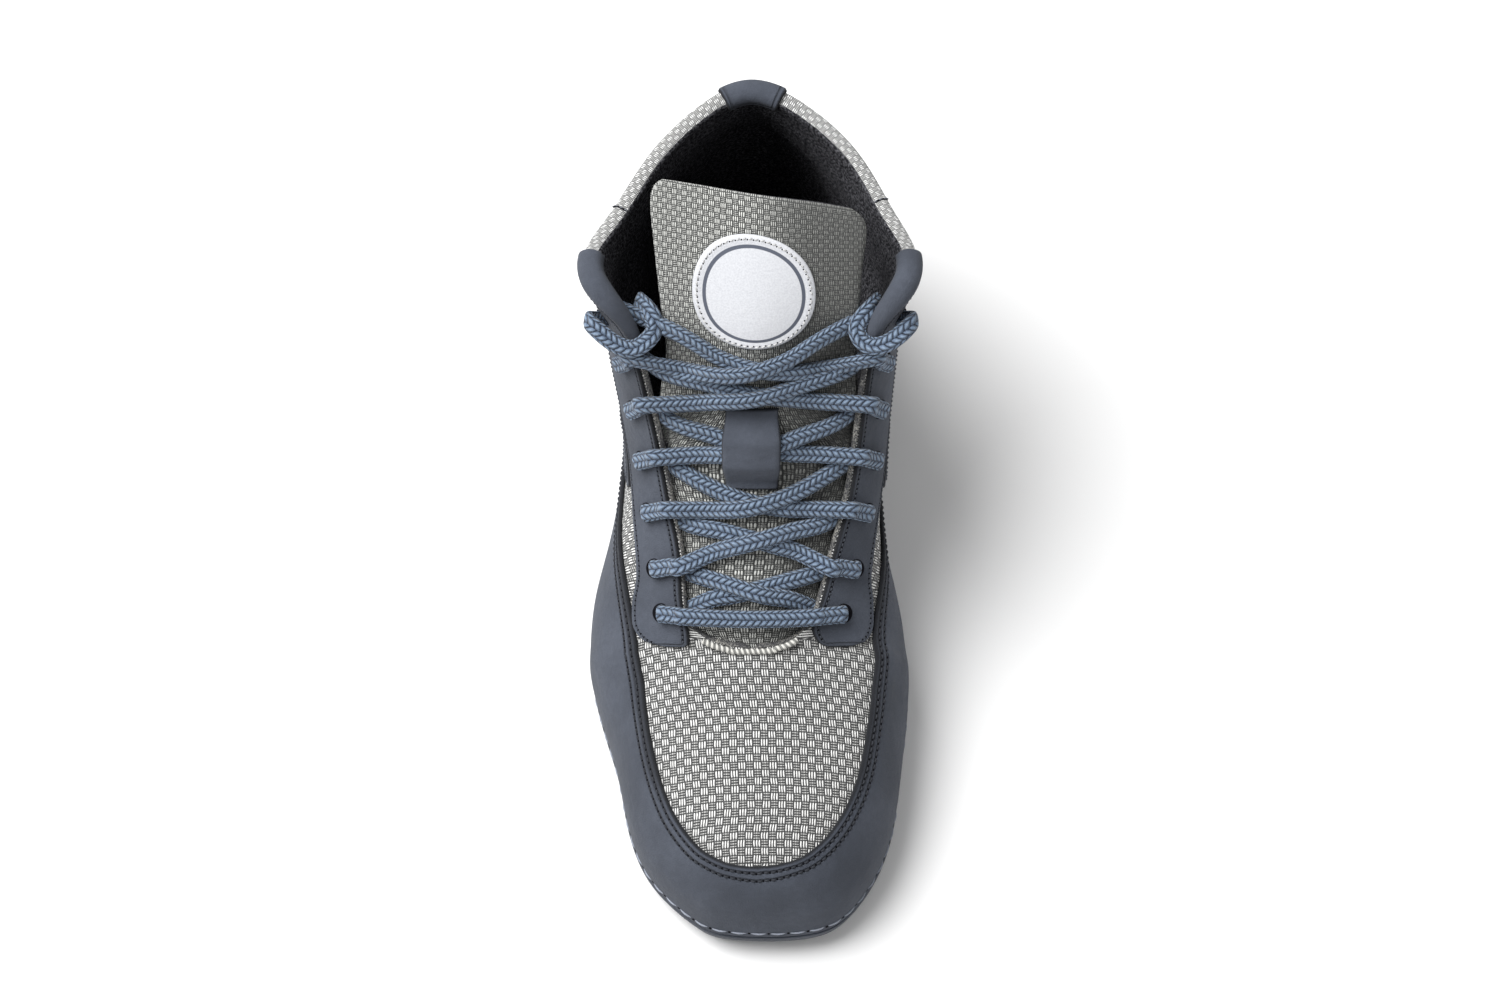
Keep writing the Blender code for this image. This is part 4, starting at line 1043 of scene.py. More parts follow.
def make_darts():
    sheets, rows = [], []
    for side, u in DARTS:
        lines = []
        for shift in (-0.02, 0.0, 0.02):
            outside = skin(side, u + shift, np.linspace(DART_START, TOP, 8), GAP / 2)[0]
            inside = skin(side, u + shift, TOP, -wall(u, TOP) - GAP / 2)[0]
            roll = rolled_edge(side, u + shift, outside[-1], inside[0], steps=11)
            lines.append(np.concatenate([outside, roll[1:8]]))
        middle = lines[1]
        aside = unit(lines[2] - lines[0])
        way = unit(np.gradient(middle, axis=0))
        up = unit(np.cross(aside, way)) * side
        up = up * np.sign(np.sum(up * (middle - middle.mean(axis=0) + (0, 0, 0.05)), axis=1,
                                 keepdims=True))
        profile = [middle + aside * DART_WIDTH / 2 * across + up * DART_RISE * rise
                   for across, rise in DART_PROFILE]
        sheets.append((np.stack(profile), {}, 0))
        rows.append((middle + up * DART_THREAD_RISE, up))
    dart = piece_from("collar_darts", sheets, [HOLE])
    sewn("collar_dart_stitches", rows, GREY_THREAD, pitch=0.0019,
         length=0.0012, radius=0.00022, hole=None)


make_darts()

# Tongue: foam between two layers of a finer, darker mesh, sewn in at the base of the throat
# and loose above the lace. Its rows run from the sewn-in end up to the free edge.
TONGUE_PADDING = 0.0050
TONGUE_ROUNDING = 0.0032                       # of its edges, from the side and from the tip
TONGUE_ROW_PITCH = 0.012                       # about how far one row lies from the next
FREE_ROW = 7                                   # the first row of the free tongue
VAMP_CLEARANCE = 0.0007
FACING_CLEARANCE = 0.0020
FREE_TONGUE = (
    (0.540, 1.63, -0.57, 0.553, 1.58, 0.65, 0.555, 1.575),
    (0.571, 1.82, -0.53, 0.589, 1.77, 0.64, 0.592, 1.765),
    (0.600, 1.99, -0.55, 0.619, 1.955, 0.65, 0.617, 1.945),
    (0.651, 2.16, -0.59, 0.673, 2.16, 0.67, 0.658, 2.135),
    (0.700, 2.29, -0.61, 0.723, 2.30, 0.685, 0.687, 2.27),
    (0.717, 2.335, -0.54, 0.738, 2.345, 0.60, 0.701, 2.325),
)
COVERED_TONGUE = (
    (6.9, 4.20, 4.62, 0.0),
    (7.5, 4.20, 4.62, 0.0),
    (8.0, 4.20, 4.60, 0.0),
    (9.0, 4.35, 4.93, -0.0016),
    (10.0, 4.45, 4.93, 0.0020),
    (11.0, 4.50, 4.93, 0.0030),
    (12.0, 4.72, 4.93, 0.0036),
)


def tongue_rows():
    """Five points across each row: edge, shoulder, middle, shoulder, edge."""
    rows = []
    for u, edge, shows, crown in COVERED_TONGUE:
        drop = -(WALL + (VAMP_CLEARANCE if u <= THROAT else FACING_CLEARANCE))
        flanks = [skin(side, u, (edge, shows), drop, bare=True)[0] - PLACE
                  for side in (OUTER, INNER)]
        if u <= THROAT:
            middle = skin(OUTER, u, TOP, drop, bare=True)[0][0] - PLACE
        else:
            along = top_point(OUTER, u + 0.2) - top_point(OUTER, u - 0.2)
            lift = unit(np.array((0, -along[2], along[1])))
            middle = (top_point(OUTER, u) + top_point(INNER, u)) / 2 + lift * crown
        rows.append([flanks[0][0], flanks[0][1], middle, flanks[1][1], flanks[1][0]])
    for mid_reach, mid_rise, out_x, out_reach, out_rise, in_x, in_reach, in_rise in FREE_TONGUE:
        edges = [np.array((x * HALF_BALL, reach * LENGTH, height_of(rise)))
                 for x, reach, rise in ((out_x, out_reach, out_rise), (in_x, in_reach, in_rise))]
        middle = np.array(((edges[0][0] + edges[1][0]) / 2, mid_reach * LENGTH,
                           height_of(mid_rise)))
        shoulders = []
        for point in edges:
            shoulder = middle + (point - middle) * 0.55
            bow = np.linalg.norm((middle + point) / 2 - shoulder)
            shoulders.append(shoulder + np.array((0, -bow * 0.1, bow * 0.1)))
        rows.append([edges[0], shoulders[0], middle, shoulders[1], edges[1]])
    return rows


TONGUE_ALONG = Spline([np.concatenate(row) for row in tongue_rows()])
TONGUE_LAST = len(COVERED_TONGUE) + len(FREE_TONGUE) - 1


def tongue_face(row, across):
    points = TONGUE_ALONG.at(row).reshape(5, 3)
    return Spline(points).at(2 + 2 * np.asarray(across, dtype=float))


def tongue(row, across, out=0.0, step=0.05):
    """Points and normals across one row of the tongue, moved out by a distance."""
    across = np.atleast_1d(np.asarray(across, dtype=float))
    points = tongue_face(row, across)
    along = tongue_face(row + step, across) - tongue_face(row - step, across)
    over = tongue_face(row, across + step) - tongue_face(row, across - step)
    facing = unit(np.cross(over, along))
    return points + facing * np.reshape(out, (-1, 1)) + PLACE, facing


def tongue_across(row, x):
    """The place across the tongue at a sideways distance from the last's middle line."""
    places = np.linspace(-1, 1, 81)
    return np.interp(x, tongue_face(row, places)[:, 0], places)


# The tongue's mesh has painted shade: its thread darkens towards +X.
DARK_MESH = basket_mesh("dark_basket_mesh", 0.0018, (0.80, 0.81, 0.77), (0.62, 0.625, 0.60),
                        (0.055, 0.057, 0.055), depth=0.0004, wear_and_painted_shade=(-0.004, 0.019, 0.80))


def make_tongue():
    """A pad of two layers, its face of mesh, with rounded sides and tip."""
    rows = np.linspace(0, TONGUE_LAST, 12 * TONGUE_LAST + 1)
    even = np.linspace(-1, 1, 57)
    across = np.sin(even * math.pi / 2) * 0.35 + even * 0.65
    run = run_along([tongue_face(row, 0.0) for row in rows])
    over, under, chart = [], [], []
    for row, along in zip(rows, run):
        width = np.linalg.norm(tongue_face(row, 1.0) - tongue_face(row, -1.0))
        border = (1 - np.abs(across)) * width / 2
        if row > FREE_ROW:
            border = np.minimum(border, (TONGUE_LAST - row) * TONGUE_ROW_PITCH)
        rounding = 2 - 2 * edge_height(border, TONGUE_ROUNDING)
        ends = smooth((row + 0.6) / 2)
        depth = TONGUE_PADDING * (0.35 + 0.65 * (1 - across ** 4) * ends)
        over.append(tongue(row, across, -rounding * depth / 2)[0])
        under.append(tongue(row, across, -depth + rounding * depth / 2)[0])
        chart.append(np.stack([across * width / 2, np.full(len(across), along)], axis=-1))
    pad = piece_from("tongue_pad", pad_sheets(over, under, {"weave": chart}, back=1),
                     [DARK_MESH, FLEECE], weld=0.00004)
    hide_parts("tongue")


make_tongue()

# Lace keeper: a strap of the same nubuck, sewn to the tongue above and below, with the fourth
# crossing of the lace running under it.
LACE_WIDTH = 0.0060
LACE_THICKNESS = 0.0034
KEEPER_WIDTH = 0.0170
KEEPER_THICKNESS = 0.0012
KEEPER_LENGTH = 0.028
KEEPER_ROUNDING = 0.0008
# Rows of the tongue where it is sewn down, rises and comes back, and its share of the rise
KEEPER_ROWS = (5.44, 5.60, 5.98, 6.52, 6.88, 7.04)
KEEPER_RISE = (0.0, 0.02, 1.0, 1.0, 0.02, 0.0)
KEEPER_ROOM = 1.6 * LACE_THICKNESS + 3 * GAP


def make_keeper():
    """A strap that leaves the tongue, bridges the lace and comes back to it."""
    rows = np.linspace(KEEPER_ROWS[0], KEEPER_ROWS[-1], 61)
    rises = np.interp(rows, KEEPER_ROWS, KEEPER_RISE)
    for _ in range(6):
        rises[1:-1] = (rises[:-2] + 2 * rises[1:-1] + rises[2:]) / 4
    aside = np.linspace(-1, 1, 21) * KEEPER_WIDTH / 2
    over, under, edge = [], [], []
    for row, rise, place in zip(rows, rises, np.linspace(0, 1, 61) * KEEPER_LENGTH):
        across = tongue_across(row, aside)
        low = 3 * GAP + rise * KEEPER_ROOM
        border = np.minimum(KEEPER_WIDTH / 2 - np.abs(aside), min(place, KEEPER_LENGTH - place))
        lift = KEEPER_THICKNESS * edge_height(border, KEEPER_ROUNDING)
        over.append(tongue(row, across, low + lift)[0])
        under.append(tongue(row, across, low)[0])
        edge.append(np.stack([border + KEEPER_ROUNDING / 2, border], axis=-1))
    keeper = piece_from("lace_keeper_strap", pad_sheets(over, under, {"edge": edge}), [NUBUCK])
    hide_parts("lace_keeper")


make_keeper()

# Tongue badge: a plain oval patch of pale coated cloth with a slate ring, its raised border
# sewn over with pale thread.
BADGE_WIDTH = 0.0400
BADGE_ROWS = (8.45, 10.55)
BADGE_THICKNESS = 0.0009
BORDER_WIDTH = 0.14                            # raised border, as a share of the patch's radius
BORDER_START = 0.84
BORDER_ROW = 0.925                             # its stitches, just inside its middle
BORDER_HEIGHT = 0.00022
BORDER_THREAD_RISE = 0.0002
RIM_START = 0.96                               # where the patch's own rim is rounded off

badge_cloth = Recipe("badge_cloth", 0.55, Specular_IOR_Level=0.4)
badge_radius = badge_cloth.chart("badge")[0]
weave_wave = badge_cloth.noise(1800.0, 2.0)
ring_in = badge_cloth.between(badge_radius, 0.765, 0.775)
ring_out = badge_cloth.between(badge_radius, 0.825, 0.835, 1.0, 0.0)
pale = badge_cloth.blend(badge_cloth.between(weave_wave, 0.3, 0.7), (0.54, 0.55, 0.58),
                         (0.62, 0.63, 0.66))
badge_cloth.finish("Base Color", badge_cloth.blend(badge_cloth.times(ring_in, ring_out), pale,
                                                   (0.085, 0.095, 0.125)))
badge_cloth.finish("Normal", badge_cloth.relief(weave_wave, 0.00012))
WHITE_THREAD = thread_finish("white_thread", (0.62, 0.62, 0.62))


def badge_place(ring, turn):
    """The tongue's row and place across for a share of the patch's radius at a turn."""
    row = sum(BADGE_ROWS) / 2 + (BADGE_ROWS[1] - BADGE_ROWS[0]) / 2 * ring * math.sin(turn)
    return row, tongue_across(row, MIDLINE + BADGE_WIDTH / 2 * ring * math.cos(turn))


def make_badge():
    """The patch from its middle out to its rounded edge, and the thread over its border."""
    turns = np.linspace(0, math.tau, 97)
    rings = np.concatenate([np.linspace(0, 0.80, 15), np.linspace(0.82, 1, 16)])
    over, under, chart = [], [], []
    for turn in turns:
        top, low = [], []
        for ring in rings:
            border = BORDER_HEIGHT * math.sin(
                math.pi * np.clip((ring - BORDER_START) / BORDER_WIDTH, 0, 1))
            share = min(max(ring - RIM_START, 0) / (1 - RIM_START), 1)
            edge = BADGE_THICKNESS * (0.55 + 0.45 * math.sqrt(1 - share ** 2))
            place = badge_place(ring, turn)
            top.append(tongue(*place, GAP + edge + border)[0][0])
            low.append(tongue(*place, GAP)[0][0])
        over.append(top)
        under.append(low)
        chart.append(np.stack([rings, np.full(len(rings), turn / math.tau)], axis=-1))
    over, under = grid_of(over), grid_of(under)
    sheets = [(over, {"badge": grid_of(chart)}, 0), (under, {}, 0),
              (np.stack([over[:, -1], under[:, -1]]), {}, 0)]
    badge = piece_from("tongue_badge_patch", sheets, [badge_cloth.material])
    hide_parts("tongue_badge")
    lift = GAP + BADGE_THICKNESS + BORDER_THREAD_RISE
    row = [tongue(*badge_place(BORDER_ROW, turn), lift) for turn in turns]
    sewn("badge_border_stitches", [(np.array([point[0] for point, _ in row]),
                                    np.array([facing[0] for _, facing in row]))],
         WHITE_THREAD, pitch=0.00200, length=0.0015, radius=0.00030, hole=0.00030,
         slant=math.radians(18))


make_badge()

# Throat piping: the vamp's mesh rolled over a thin cord and sewn in at the base of the throat,
# a light edge between the vamp and the tongue. It stops under the facing at each side.
PIPING = 0.0010
piping_mesh = Recipe("piping_mesh", 0.8, Specular_IOR_Level=0.3)
COIL = 3600.0                                  # turns of its thread, in radians a metre
piping_run, piping_turn, _ = piping_mesh.chart("run")
coil = piping_mesh.calc("SINE", piping_mesh.plus(piping_mesh.times(piping_run, COIL),
                                                 piping_turn))
piping_mesh.finish("Base Color", piping_mesh.blend(
    piping_mesh.between(coil, -0.6, 0.5), (0.20, 0.20, 0.19), (0.64, 0.63, 0.59)))
piping_mesh.finish("Normal", piping_mesh.relief(coil, 0.0002))


def tube_sheets(path, aside, up, section, run, turns):
    """A closed tube along a path from its section, with its run and turn as a chart."""
    wide, high = section
    rings = (path[:, None] + aside[:, None] * wide[None, :, None]
             + up[:, None] * high[None, :, None])
    chart = np.stack(np.broadcast_arrays(run[:, None], turns[None, :]), axis=-1)
    caps = [np.stack([np.repeat(path[end][None], len(turns), axis=0), rings[end]])
            for end in (0, -1)]
    return [(rings, {"run": chart}, 0)] + [(cap, {}, 0) for cap in caps]


piping_spots = [skin(side, THROAT + step, TOP - 0.03, PIPING + 2 * GAP)[0][0]
                for side, steps in ((OUTER, (0.70, 0.56, 0.42, 0.30, 0.19)),
                                    (INNER, (0.19, 0.30, 0.42, 0.56, 0.70)))
                for step in steps]
piping_path = Spline(piping_spots).at(np.linspace(0, len(piping_spots) - 1, 90))
piping_on = unit(np.gradient(piping_path, axis=0))
piping_side = unit(np.cross(piping_on, (0.0, 0.3, 1.0)))
angles = np.linspace(0, math.tau, 13)
piping_sheets = tube_sheets(piping_path, piping_side, np.cross(piping_side, piping_on),
                            (PIPING * np.cos(angles), PIPING * np.sin(angles)),
                            run_along(piping_path), angles)
piping = piece_from("throat_piping_roll", piping_sheets, [piping_mesh.material])
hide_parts("throat_piping")

# Lace: one flat braid of slate-blue cord. It lies in a bar over the two lowest eyelets, then
# each half crosses the tongue, goes under the other facing and comes up one eyelet higher. An
# eyelet's place is a section and a level.
EYELETS = ((9.25, 4.50), (10.0, 4.48), (11.0, 4.50), (12.0, 4.52), (13.0, 4.60),
           (14.0, 4.64), (15.3, 4.62))
# Of each crossing the section where its strands meet, how far out a strand ends as a share of
# the throat's half width, and how far from the eyelets' sections it starts and ends
CROSSINGS = ((9.66, 0.80, 0.12, 0.10), (10.47, 0.80, 0.03, 0.25), (11.14, 0.80, 0.03, 0.25),
             (12.25, 0.80, 0.03, 0.25), (13.36, 0.78, 0.03, 0.25), (13.92, 0.61, 0.03, 0.55))
CROSSING_SHARES = (0.22, 0.36, 0.5, 0.64, 0.80, 1.0)
TOP_STRANDS = (INNER, OUTER, OUTER, OUTER, OUTER, OUTER)   # side where the upper strand starts
PAST_EDGE = 0.13                               # levels by which the bar overhangs the facing
LACE_LIFT = 0.80                               # rise over the strand below, by the thickness
RIDE_REACH = 0.4                               # and how far to each side of the middle
TONGUE_ROW = 6                                 # a section's number less that of the tongue's row
LACE_ON_FACING = GAP + OVERLAY + GAP + LACE_THICKNESS / 2
LACE_ON_TONGUE = 3 * GAP + LACE_THICKNESS / 2

braid = Recipe("braided_lace", 0.75, Sheen_Weight=0.15, Specular_IOR_Level=0.3)
lace_run, lace_turn, _ = braid.chart("run")
PLAIT = 0.0022                                 # run of one plait, eight of them round the lace
turned = braid.times(lace_turn, 8.0)
row_of_plaits = braid.calc("FLOOR", turned)
odd = braid.calc("FLOORED_MODULO", row_of_plaits, 2.0)
aside = braid.minus(braid.minus(turned, row_of_plaits), 0.5)
slant = braid.times(aside, braid.minus(0.7, braid.times(odd, 1.4)))
phase = braid.plus(braid.calc("DIVIDE", lace_run, PLAIT),
                   braid.plus(slant, braid.times(odd, 0.5)))
along = braid.calc("ABSOLUTE", braid.minus(braid.times(braid.calc("FRACT", phase), 2.0), 1.0))
bulge = braid.minus(1.0, braid.calc("POWER", along, 2.5))
squared = braid.calc("POWER", braid.calc("ABSOLUTE", aside), 2.0)
plait = braid.times(bulge, braid.minus(1.0, braid.times(squared, 3.2)))
yarn = braid.noise(1700.0, 3.0)
blue = braid.blend(braid.between(yarn, 0.3, 0.72), (0.070, 0.100, 0.155),
                   (0.150, 0.205, 0.295))
# Painted highlight: the crown of each plait is lightened towards a pale blue.
blue = braid.blend(braid.between(plait, 0.55, 1.0, 0.0, 0.55), blue, (0.26, 0.34, 0.44))
# Painted shade: the hollows between the plaits are near black.
braid.finish("Base Color", braid.blend(braid.between(plait, 0.05, 0.52),
                                       (0.010, 0.015, 0.028), blue))
braid.finish("Normal", braid.relief(plait, 0.0008, braid.relief(yarn, 0.0002)))
BRAID = braid.material


def on_facing(side, u, level, out):
    point, facing = skin(side, u, level, out)
    return point[0], facing[0]


def on_tongue(row, x, lift):
    point, facing = tongue(row, tongue_across(row, x), LACE_ON_TONGUE + lift)
    return point[0], facing[0]


# The lace's bend through an eyelet: how far out from the mesh, and how far up the facing
EYELET_PATH = ((-WALL - 0.0016, 0.0035), (-WALL - 0.0009, -0.0002), (0.0006, -0.0014),
               (LACE_ON_FACING - 0.0002, -0.0006), (LACE_ON_FACING, 0.0022))


def through_eyelet(side, number):
    """Up through an eyelet from inside: under the facing, in the hole, and over it."""
    u, level = EYELETS[number]
    centre, facing = on_facing(side, u, level, 0.0)
    ahead = unit(on_facing(side, u, level + 0.1, 0.0)[0] - centre)
    along = unit(np.cross(facing, ahead))
    return [(centre + facing * out + ahead * forward, facing, along)
            for out, forward in EYELET_PATH]


def crossing(side, number):
    """Across the tongue from one facing's edge to the other's, one eyelet up."""
    meet, width, after, before = CROSSINGS[number]
    start_u = EYELETS[number][0] + after
    end_u = EYELETS[number + 1][0] - before
    start_x = top_point(side, start_u)[0]
    end_x = top_point(-side, end_u)[0] * width
    spots = []
    if number:
        spots = [(*on_facing(side, start_u, level, LACE_ON_FACING), None)
                 for level in (TOP - 0.10, TOP + 0.10)]
    for share in CROSSING_SHARES:
        ride = LACE_LIFT * LACE_THICKNESS * max(0.0, 1 - abs(share - 0.5) / RIDE_REACH)
        ride = ride if TOP_STRANDS[number] == side else 0.0
        bend = 4 * share * (1 - share) * (meet - (start_u + end_u) / 2)
        row = start_u + (end_u - start_u) * share + bend - TONGUE_ROW
        spots.append((*on_tongue(row, start_x + (end_x - start_x) * share, ride), None))
    return spots


def lace_half(side):
    """From one end of the bar up to the top eyelet on the same side."""
    spots = through_eyelet(side, 0)[:3][::-1]
    for number in range(len(CROSSINGS)):
        spots = spots + crossing(side, number)
        side = -side
        last = number == len(CROSSINGS) - 1
        spots = spots + through_eyelet(side, number + 1)[:3 if last else 5]
    return spots


LACE_SPACING = 0.0007                          # between the rings of the lace's mesh
LACE_SIDES = 20


def flat_lace(spots, taper=1.0):
    """The braid along its spots: a flat section that keeps its width along the cloth."""
    points = np.array([spot[0] for spot in spots])
    ways = unit(np.gradient(points, axis=0))
    wide = []
    for way, (_, facing, given) in zip(ways, spots):
        width = np.cross(facing, way) if given is None else given
        if wide and width @ wide[-1] < 0:
            width = -width
        wide.append(width / np.linalg.norm(width))
    chords = np.linalg.norm(np.diff(points, axis=0), axis=1)
    knots = np.concatenate([[0], np.cumsum(np.sqrt(chords))])
    steps = np.interp(np.linspace(0, knots[-1], 8 * len(spots)), knots, np.arange(len(spots)))
    line, width = Spline(points), Spline(np.array(wide))
    run = run_along(line.at(steps))
    stops = np.interp(np.linspace(0, run[-1], int(run[-1] / LACE_SPACING)), run, steps)
    path = line.at(stops)
    on = unit(np.gradient(path, axis=0))
    aside = width.at(stops)
    aside = unit(aside - on * np.sum(aside * on, axis=1, keepdims=True))
    up = np.cross(on, aside)
    angles = np.linspace(0, math.tau, LACE_SIDES + 1)
    x = LACE_WIDTH / 2 * np.sign(np.cos(angles)) * np.abs(np.cos(angles)) ** 0.85
    z = LACE_THICKNESS * taper / 2 * np.sign(np.sin(angles)) * np.abs(np.sin(angles)) ** 0.8
    length = np.linspace(0, run[-1], len(path))
    return tube_sheets(path, aside, up, (x, z), length, angles / math.tau), path


EYELET_MOUTH = (0.0034, 0.0033)                # half the mouth along the facing and across it
MOUTH_SHIFT = 0.0015                           # and how far it lies back from the lace's bend
MOUTH_RISE = 0.00015


def make_eyelets():
    """The mouth of each punched hole as a dark sheet, most of it under the lace: painted shade
    where the lace goes into the hole.
    """
    sheets = []
    wide, high = EYELET_MOUTH
    turns = np.linspace(0, math.tau, 25)
    for side in (OUTER, INNER):
        for u, level in EYELETS:
            centre, facing = on_facing(side, u, level, GAP + OVERLAY + MOUTH_RISE)
            ahead = unit(on_facing(side, u, level + 0.1, GAP + OVERLAY)[0] - centre)
            along = unit(np.cross(facing, ahead))
            rings = [centre + (np.outer(np.cos(turns), along) * wide
                               + np.outer(np.sin(turns), ahead) * high) * share
                     - ahead * MOUTH_SHIFT + facing * rise
                     for share, rise in ((1.0, -0.0003), (0.97, 0.0), (0.0, 0.0))]
            middle = np.repeat(rings[0].mean(axis=0)[None], len(turns), axis=0)
            sheets.append((np.stack(rings), {}, 0))
            sheets.append((np.stack([middle, rings[0]]), {}, 0))
    holes = piece_from("eyelet_holes", sheets, [HOLE])


make_eyelets()


def make_lace():
    """The whole lace in one: both halves, joined by the bar over the lowest eyelets."""
    u, level = EYELETS[0]
    outer, inner = [through_eyelet(side, 0)[3:4]
                    + [(*on_facing(side, u, place, LACE_ON_FACING), None)
                       for place in (level + 0.06, TOP - 0.05, TOP + PAST_EDGE)]
                    for side in (OUTER, INNER)]
    middle = (*on_tongue(u - TONGUE_ROW, 0.0, LACE_THICKNESS), None)
    spots = lace_half(OUTER)[::-1] + outer + [middle] + inner[::-1] + lace_half(INNER)
    sheets, _ = flat_lace(spots)
    lace = piece_from("lace", sheets, [BRAID])
    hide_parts("lace_bar", *["lace_crossing_%d" % (number + 1)
                                    for number in range(len(CROSSINGS))])


make_lace()

# Lace ends: from the top eyelets each end goes round the front of the collar and down into
# the shoe, where it is out of sight. A point of their routes is given across the shoe, along it
# from the toe tip, and up.
END_ROUTES = {
    OUTER: (
        (-0.0530, 0.1716, 0.1340), (-0.0528, 0.1690, 0.1370), (-0.0490, 0.1655, 0.1362),
        (-0.0448, 0.1628, 0.1345), (-0.0392, 0.1616, 0.1330), (-0.0342, 0.1640, 0.1342),
        (-0.0318, 0.1680, 0.1360), (-0.0335, 0.1730, 0.1380), (-0.0372, 0.1780, 0.1355)),
    INNER: (
        (0.0526, 0.1716, 0.1340), (0.0522, 0.1690, 0.1370), (0.0486, 0.1655, 0.1362),
        (0.0435, 0.1626, 0.1345), (0.0382, 0.1626, 0.1336), (0.0348, 0.1654, 0.1350),
        (0.0350, 0.1693, 0.1370), (0.0385, 0.1735, 0.1382), (0.0415, 0.1780, 0.1355)),
}
END_START = (-0.001, 0.0026)                   # first two points, out from the eyelet's mouth
END_UPRIGHT = np.array((0.0, 0.90, 0.42))      # the way that the braid's edge stands
for side, word in SIDES:
    centre, facing = on_facing(side, *EYELETS[-1], 0.0)
    route = np.array(END_ROUTES[side]) + PLACE
    route = np.concatenate([[centre + facing * out for out in END_START], route])
    ways = unit(np.gradient(route, axis=0))
    spots = [(point, np.cross(way, END_UPRIGHT), None) for point, way in zip(route, ways)]
    sheets, path = flat_lace(spots, taper=0.9)
    end = piece_from("lace_end_%s_braid" % word, sheets, [BRAID])
    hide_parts("lace_end_" + word)

# Outsole: a cup of dark slate rubber, moulded in one, with a low wall that the upper sits in,
# a step along its side, and cross grooves under the ball and the heel.
EDGE_ROUND = 0.0035
SIDE_STEP = 0.0007
GROOVE_WIDTH = 0.0024
GROOVE_DEPTH = 0.0015
GROOVE_PITCH = 0.0090
LIP = 0.0015                                   # rim that shows below the nubuck

rubber = Recipe("slate_rubber", 0.6, Specular_IOR_Level=0.4)
fine = rubber.noise(1400.0, 3.0)
# Patchy wear in the rubber's tone, not painted shade.
wear_and_painted_shade = rubber.noise(40.0, 3.0)
rubber.finish("Base Color", rubber.blend(rubber.between(wear_and_painted_shade, 0.3, 0.7),
                                         (0.030, 0.036, 0.050), (0.050, 0.058, 0.076)))
rubber.finish("Roughness", rubber.between(fine, 0.2, 0.8, 0.5, 0.75))
rubber.finish("Normal", rubber.relief(fine, 0.00015))
RUBBER = rubber.material

# Its profile from the floor up: inset, share of the plate's height, share of the lip's
SOLE_PROFILE = (
    (EDGE_ROUND, 0, 0), (EDGE_ROUND * 0.62, 0.08, 0), (EDGE_ROUND * 0.35, 0.25, 0),
    (SIDE_STEP * 1.6, 0.55, 0), (SIDE_STEP, 0.80, 0), (SIDE_STEP, 0.93, 0),
    (SIDE_STEP * 0.4, 1.02, 0), (SIDE_STEP * 0.4, 1, 0.6), (SIDE_STEP * 0.7, 1, 0.9),
    (SIDE_STEP * 1.4, 1, 1), (RIM_WALL, 1, 1), (RIM_WALL, 1, 0),
)
GROOVED = ((0.11, 0.48), (0.72, 0.95))         # shares of the length under the ball and the heel


def make_outsole():
    """The cup from its profile, then the cross grooves cut out of it."""
    sheets, sides = [], {}
    for side in (OUTER, INNER):
        sides[side] = grid_of([[(x, y, underside(y) + SOLE_PLATE * plate + LIP * lip)
                                for x, y in (outline(side, u, inset) for u in STATIONS)]
                               for inset, plate, lip in SOLE_PROFILE]) + PLACE
        sheets.append((sides[side], {}, 0))
    for end in (0, -1):
        shares = np.linspace(0, 1, 17)[:, None, None]
        floor = sides[OUTER][end] * (1 - shares) + sides[INNER][end] * shares
        sheets.append((floor, {}, 0))
    sole = piece_from("outsole_cup", sheets, [RUBBER])
    bpy.ops.object.select_all(action="DESELECT")
    bars = []
    for first, last in GROOVED:
        for number in range(int((last - first) * LENGTH / GROOVE_PITCH) + 1):
            reach = first * LENGTH + number * GROOVE_PITCH
            bpy.ops.mesh.primitive_cube_add(
                size=1, location=(MIDLINE, reach + TOE_TIP, underside(reach)),
                scale=(HALF_BALL * 2.8, GROOVE_WIDTH, GROOVE_DEPTH * 2))
            bars.append(bpy.context.object)
    bpy.ops.object.select_all(action="DESELECT")
    for bar in bars:
        bar.select_set(True)
    bpy.context.view_layer.objects.active = bars[0]
    bpy.ops.object.join()
    cutter = bpy.context.object
    groove = sole.modifiers.new("grooves", "BOOLEAN")
    groove.operation = "DIFFERENCE"
    groove.solver = "EXACT"
    groove.object = cutter
    bpy.context.view_layer.objects.active = sole
    bpy.ops.object.modifier_apply(modifier=groove.name)
    bpy.data.objects.remove(cutter)
    sole.data.set_sharp_from_angle(angle=math.radians(40))
    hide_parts("outsole")


make_outsole()

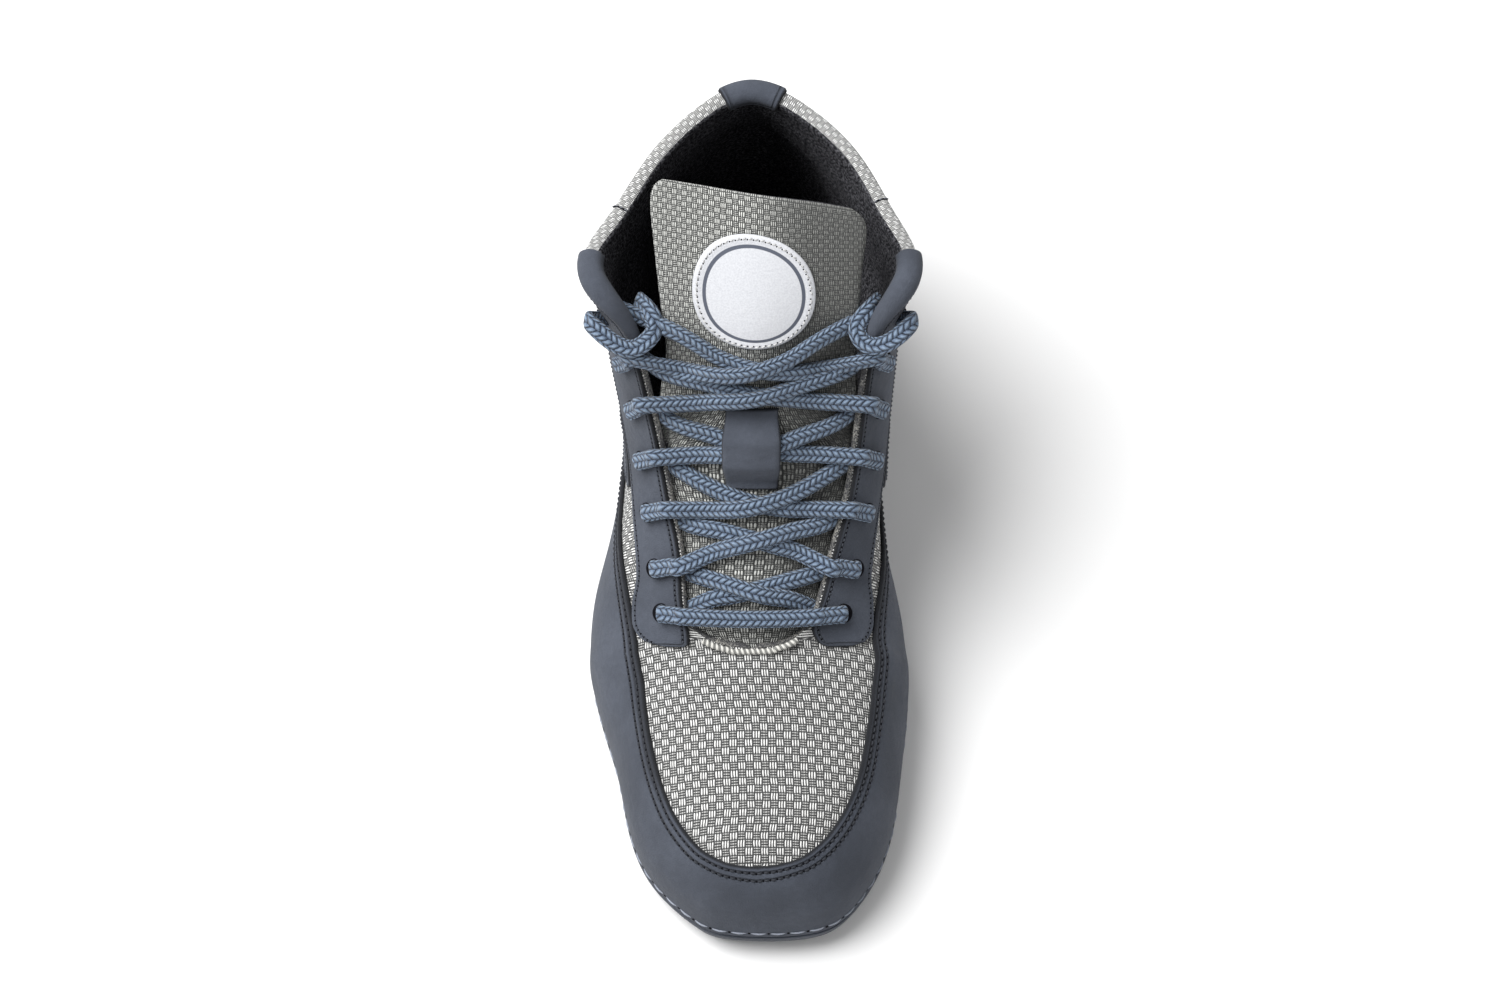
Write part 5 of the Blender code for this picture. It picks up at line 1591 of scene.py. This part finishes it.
# Insole: a loose footbed of foam under black brushed cloth, lying in the cup of the sole. It
# keeps the solid's own shape, because only its cloth shows inside the shoe.
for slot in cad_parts["insole"].material_slots:
    slot.material = FLEECE

# Floor, light and camera: a white sweep lit softly from the left, seen from the photograph's
# height with a long lens.
bpy.ops.object.select_all(action="DESELECT")
FLOOR_SIZE = 8
bpy.ops.mesh.primitive_plane_add(size=FLOOR_SIZE, location=(0, 0, 0))
floor = bpy.context.object
floor.name = "floor"
paper = Recipe("white_paper", 0.95, Base_Color=(0.86, 0.86, 0.86, 1), Specular_IOR_Level=0.1)
floor.data.materials.append(paper.material)

ROOM_LIGHT = 0.38                              # even white light from all round
world = bpy.data.worlds.new("studio")
world.use_nodes = True
background = world.node_tree.nodes["Background"]
background.inputs["Color"].default_value = (1.0, 1.0, 1.0, 1)
background.inputs["Strength"].default_value = ROOM_LIGHT
bpy.context.scene.world = world

LIT = np.array((0, 0, 0.06))                   # the place that the lamps face


def softbox(name, place, size, power):
    """A round soft lamp that faces the shoe."""
    lamp = bpy.data.lights.new(name, "AREA")
    lamp.shape = "DISK"
    lamp.size = size
    lamp.energy = power
    light = bpy.data.objects.new(name, lamp)
    bpy.context.scene.collection.objects.link(light)
    light.location = place
    way = LIT - np.array(place)
    light.rotation_euler = (math.acos(-way[2] / np.linalg.norm(way)), 0,
                            math.atan2(way[1], way[0]) - math.pi / 2)


softbox("key", (-1.10, 0.30, 2.05), 2.0, 90)
softbox("fill", (0.9, -1.2, 2.0), 1.6, 6)

ELEVATION = math.radians(66)
DISTANCE = 1.80
FOCAL_LENGTH = 128                             # millimetres, as is the width of the film
FILM_WIDTH = 36
AIM = np.array((0.0, 0.001, 0.060))
lens = bpy.data.cameras.new("camera")
lens.lens = FOCAL_LENGTH
lens.sensor_width = FILM_WIDTH
camera = bpy.data.objects.new("camera", lens)
bpy.context.scene.collection.objects.link(camera)
camera.location = AIM + DISTANCE * np.array((0, -math.cos(ELEVATION), math.sin(ELEVATION)))
camera.rotation_euler = (math.pi / 2 - ELEVATION, 0, 0)
bpy.context.scene.camera = camera
bpy.context.scene.view_settings.view_transform = "Standard"
